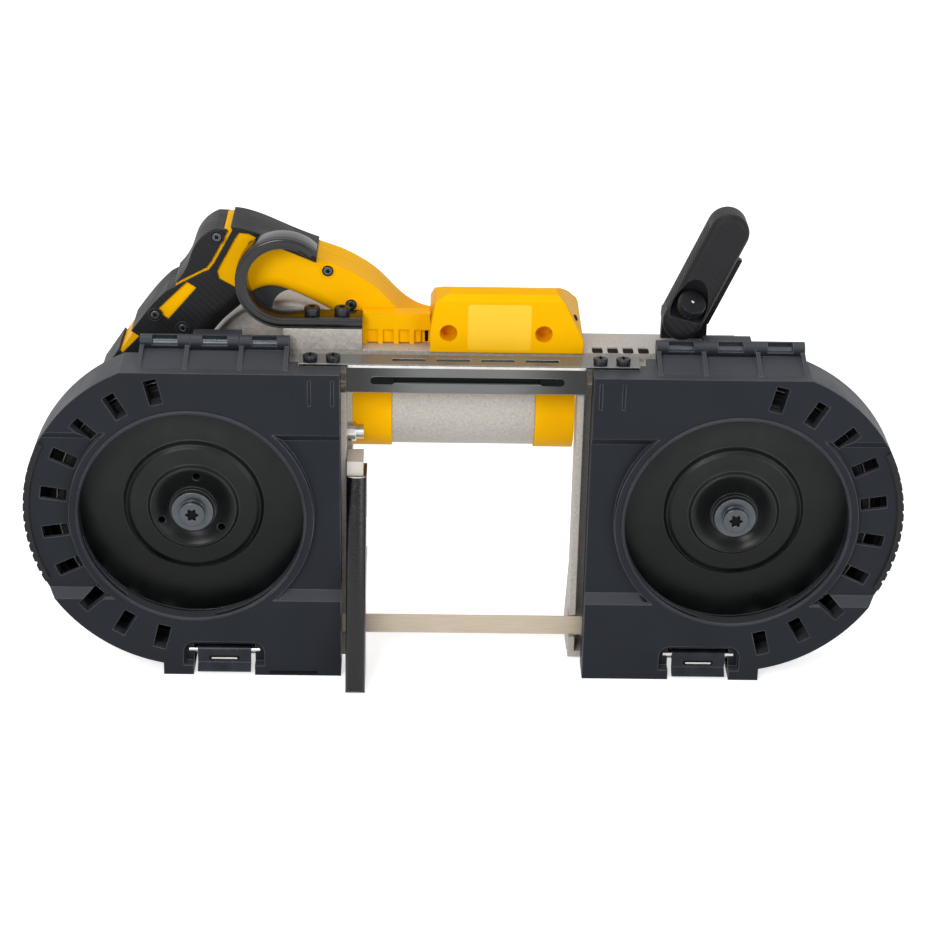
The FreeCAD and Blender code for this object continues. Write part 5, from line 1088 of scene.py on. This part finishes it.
def add_room(scene):
    """A soft even light from all round that is pure white where it is seen or mirrored."""
    world = bpy.data.worlds.new("studio")
    world.use_nodes = True
    scene.world = world
    tree = world.node_tree
    tree.nodes.clear()
    soft = add(tree, "Background", {"Color": WHITE, "Strength": ROOM_LIGHT})
    white = add(tree, "Background", {"Color": WHITE, "Strength": ROOM_SEEN})
    seen = ray_mask(tree, ("Camera", "Glossy", "Transmission"))
    mix = add(tree, "MixShader", {0: seen, 1: soft.outputs[0], 2: white.outputs[0]})
    add(tree, "OutputWorld", {"Surface": mix.outputs[0]})


def add_lamp(scene, name, place, size, power):
    """A round area lamp that looks at the saw."""
    light = bpy.data.lights.new(name, "AREA")
    light.shape = "DISK"
    light.size = size
    light.energy = power
    lamp = bpy.data.objects.new(name, light)
    aim = (LAMP_TARGET - Vector(place)).to_track_quat("-Z", "Y").to_matrix().to_4x4()
    lamp.matrix_world = Matrix.Translation(place) @ aim
    scene.collection.objects.link(lamp)


def add_camera(scene):
    """The camera as it was fitted to the photograph."""
    view = scene.band_saw_camera
    back = Vector((math.sin(view.yaw) * math.cos(view.elevation),
                   -math.cos(view.yaw) * math.cos(view.elevation), math.sin(view.elevation)))
    right = (-back).cross(UP).normalized()
    up = right.cross(-back)
    across = right * math.cos(view.roll) + up * math.sin(view.roll)
    upward = up * math.cos(view.roll) - right * math.sin(view.roll)
    lens = bpy.data.cameras.new("photo_view")
    lens.sensor_width = FILM_WIDTH
    lens.lens = FILM_WIDTH * FOCAL / IMAGE_SIDE
    lens.shift_x = 0.5 - OPTICAL_CENTRE[0] / IMAGE_SIDE
    lens.shift_y = OPTICAL_CENTRE[1] / IMAGE_SIDE - 0.5
    lens.clip_end = VIEW_END
    camera = bpy.data.objects.new("photo_view", lens)
    turn = Matrix((across, upward, back)).transposed().to_4x4()
    camera.matrix_world = Matrix.Translation(VIEW_TARGET + back * view.distance) @ turn
    scene.collection.objects.link(camera)
    scene.camera = camera


class BANDSAW_OT_stage(bpy.types.Operator):
    """Adds the pale floor, the soft lights and the camera"""
    bl_idname = "band_saw.stage"
    bl_label = "Stage"

    def execute(self, context):
        scene = context.scene
        add_floor(scene)
        add_room(scene)
        for name, lamp in LAMPS.items():
            add_lamp(scene, name, **lamp)
        add_camera(scene)
        scene.view_settings.view_transform = "Standard"
        return {"FINISHED"}


class BANDSAW_PT_panel(bpy.types.Panel):
    """Shows the saw's colours and sizes and the steps that dress it"""
    bl_idname = "BANDSAW_PT_panel"
    bl_label = "Band Saw"
    bl_space_type = "VIEW_3D"
    bl_region_type = "UI"
    bl_category = "Band Saw"

    def draw(self, context):
        for group, kind in GROUPS.items():
            for name in kind.__annotations__:
                self.layout.prop(getattr(context.scene, group), name)
        for step in STEPS:
            self.layout.operator(step.bl_idname)


STEPS = [BANDSAW_OT_finishes, BANDSAW_OT_hook_jacket, BANDSAW_OT_stop_nose, BANDSAW_OT_blade_teeth,
         BANDSAW_OT_wheel_bolts, BANDSAW_OT_rail_screws, BANDSAW_OT_latch_slots, BANDSAW_OT_rail_face,
         BANDSAW_OT_guard_face, BANDSAW_OT_hook_screws, BANDSAW_OT_handle_screws,
         BANDSAW_OT_blank_label, BANDSAW_OT_saddle, BANDSAW_OT_spine_vents, BANDSAW_OT_cover_nub,
         BANDSAW_OT_gear_case, BANDSAW_OT_throat_fittings, BANDSAW_OT_paddle_ribs,
         BANDSAW_OT_lock_knob, BANDSAW_OT_stage]
GROUPS = {"band_saw_colours": BandSawColours, "band_saw_sizes": BandSawSizes,
          "band_saw_camera": BandSawCamera}
CLASSES = [*GROUPS.values(), BANDSAW_PT_panel, *STEPS]


def register():
    for item in CLASSES:
        bpy.utils.register_class(item)
    for name, kind in GROUPS.items():
        setattr(bpy.types.Scene, name, bpy.props.PointerProperty(type=kind))


def unregister():
    for name in GROUPS:
        delattr(bpy.types.Scene, name)
    for item in reversed(CLASSES):
        bpy.utils.unregister_class(item)


def main():
    register()
    for step in STEPS:
        group, name = step.bl_idname.split(".")
        getattr(getattr(bpy.ops, group), name)()


if __name__ == "__main__":
    main()
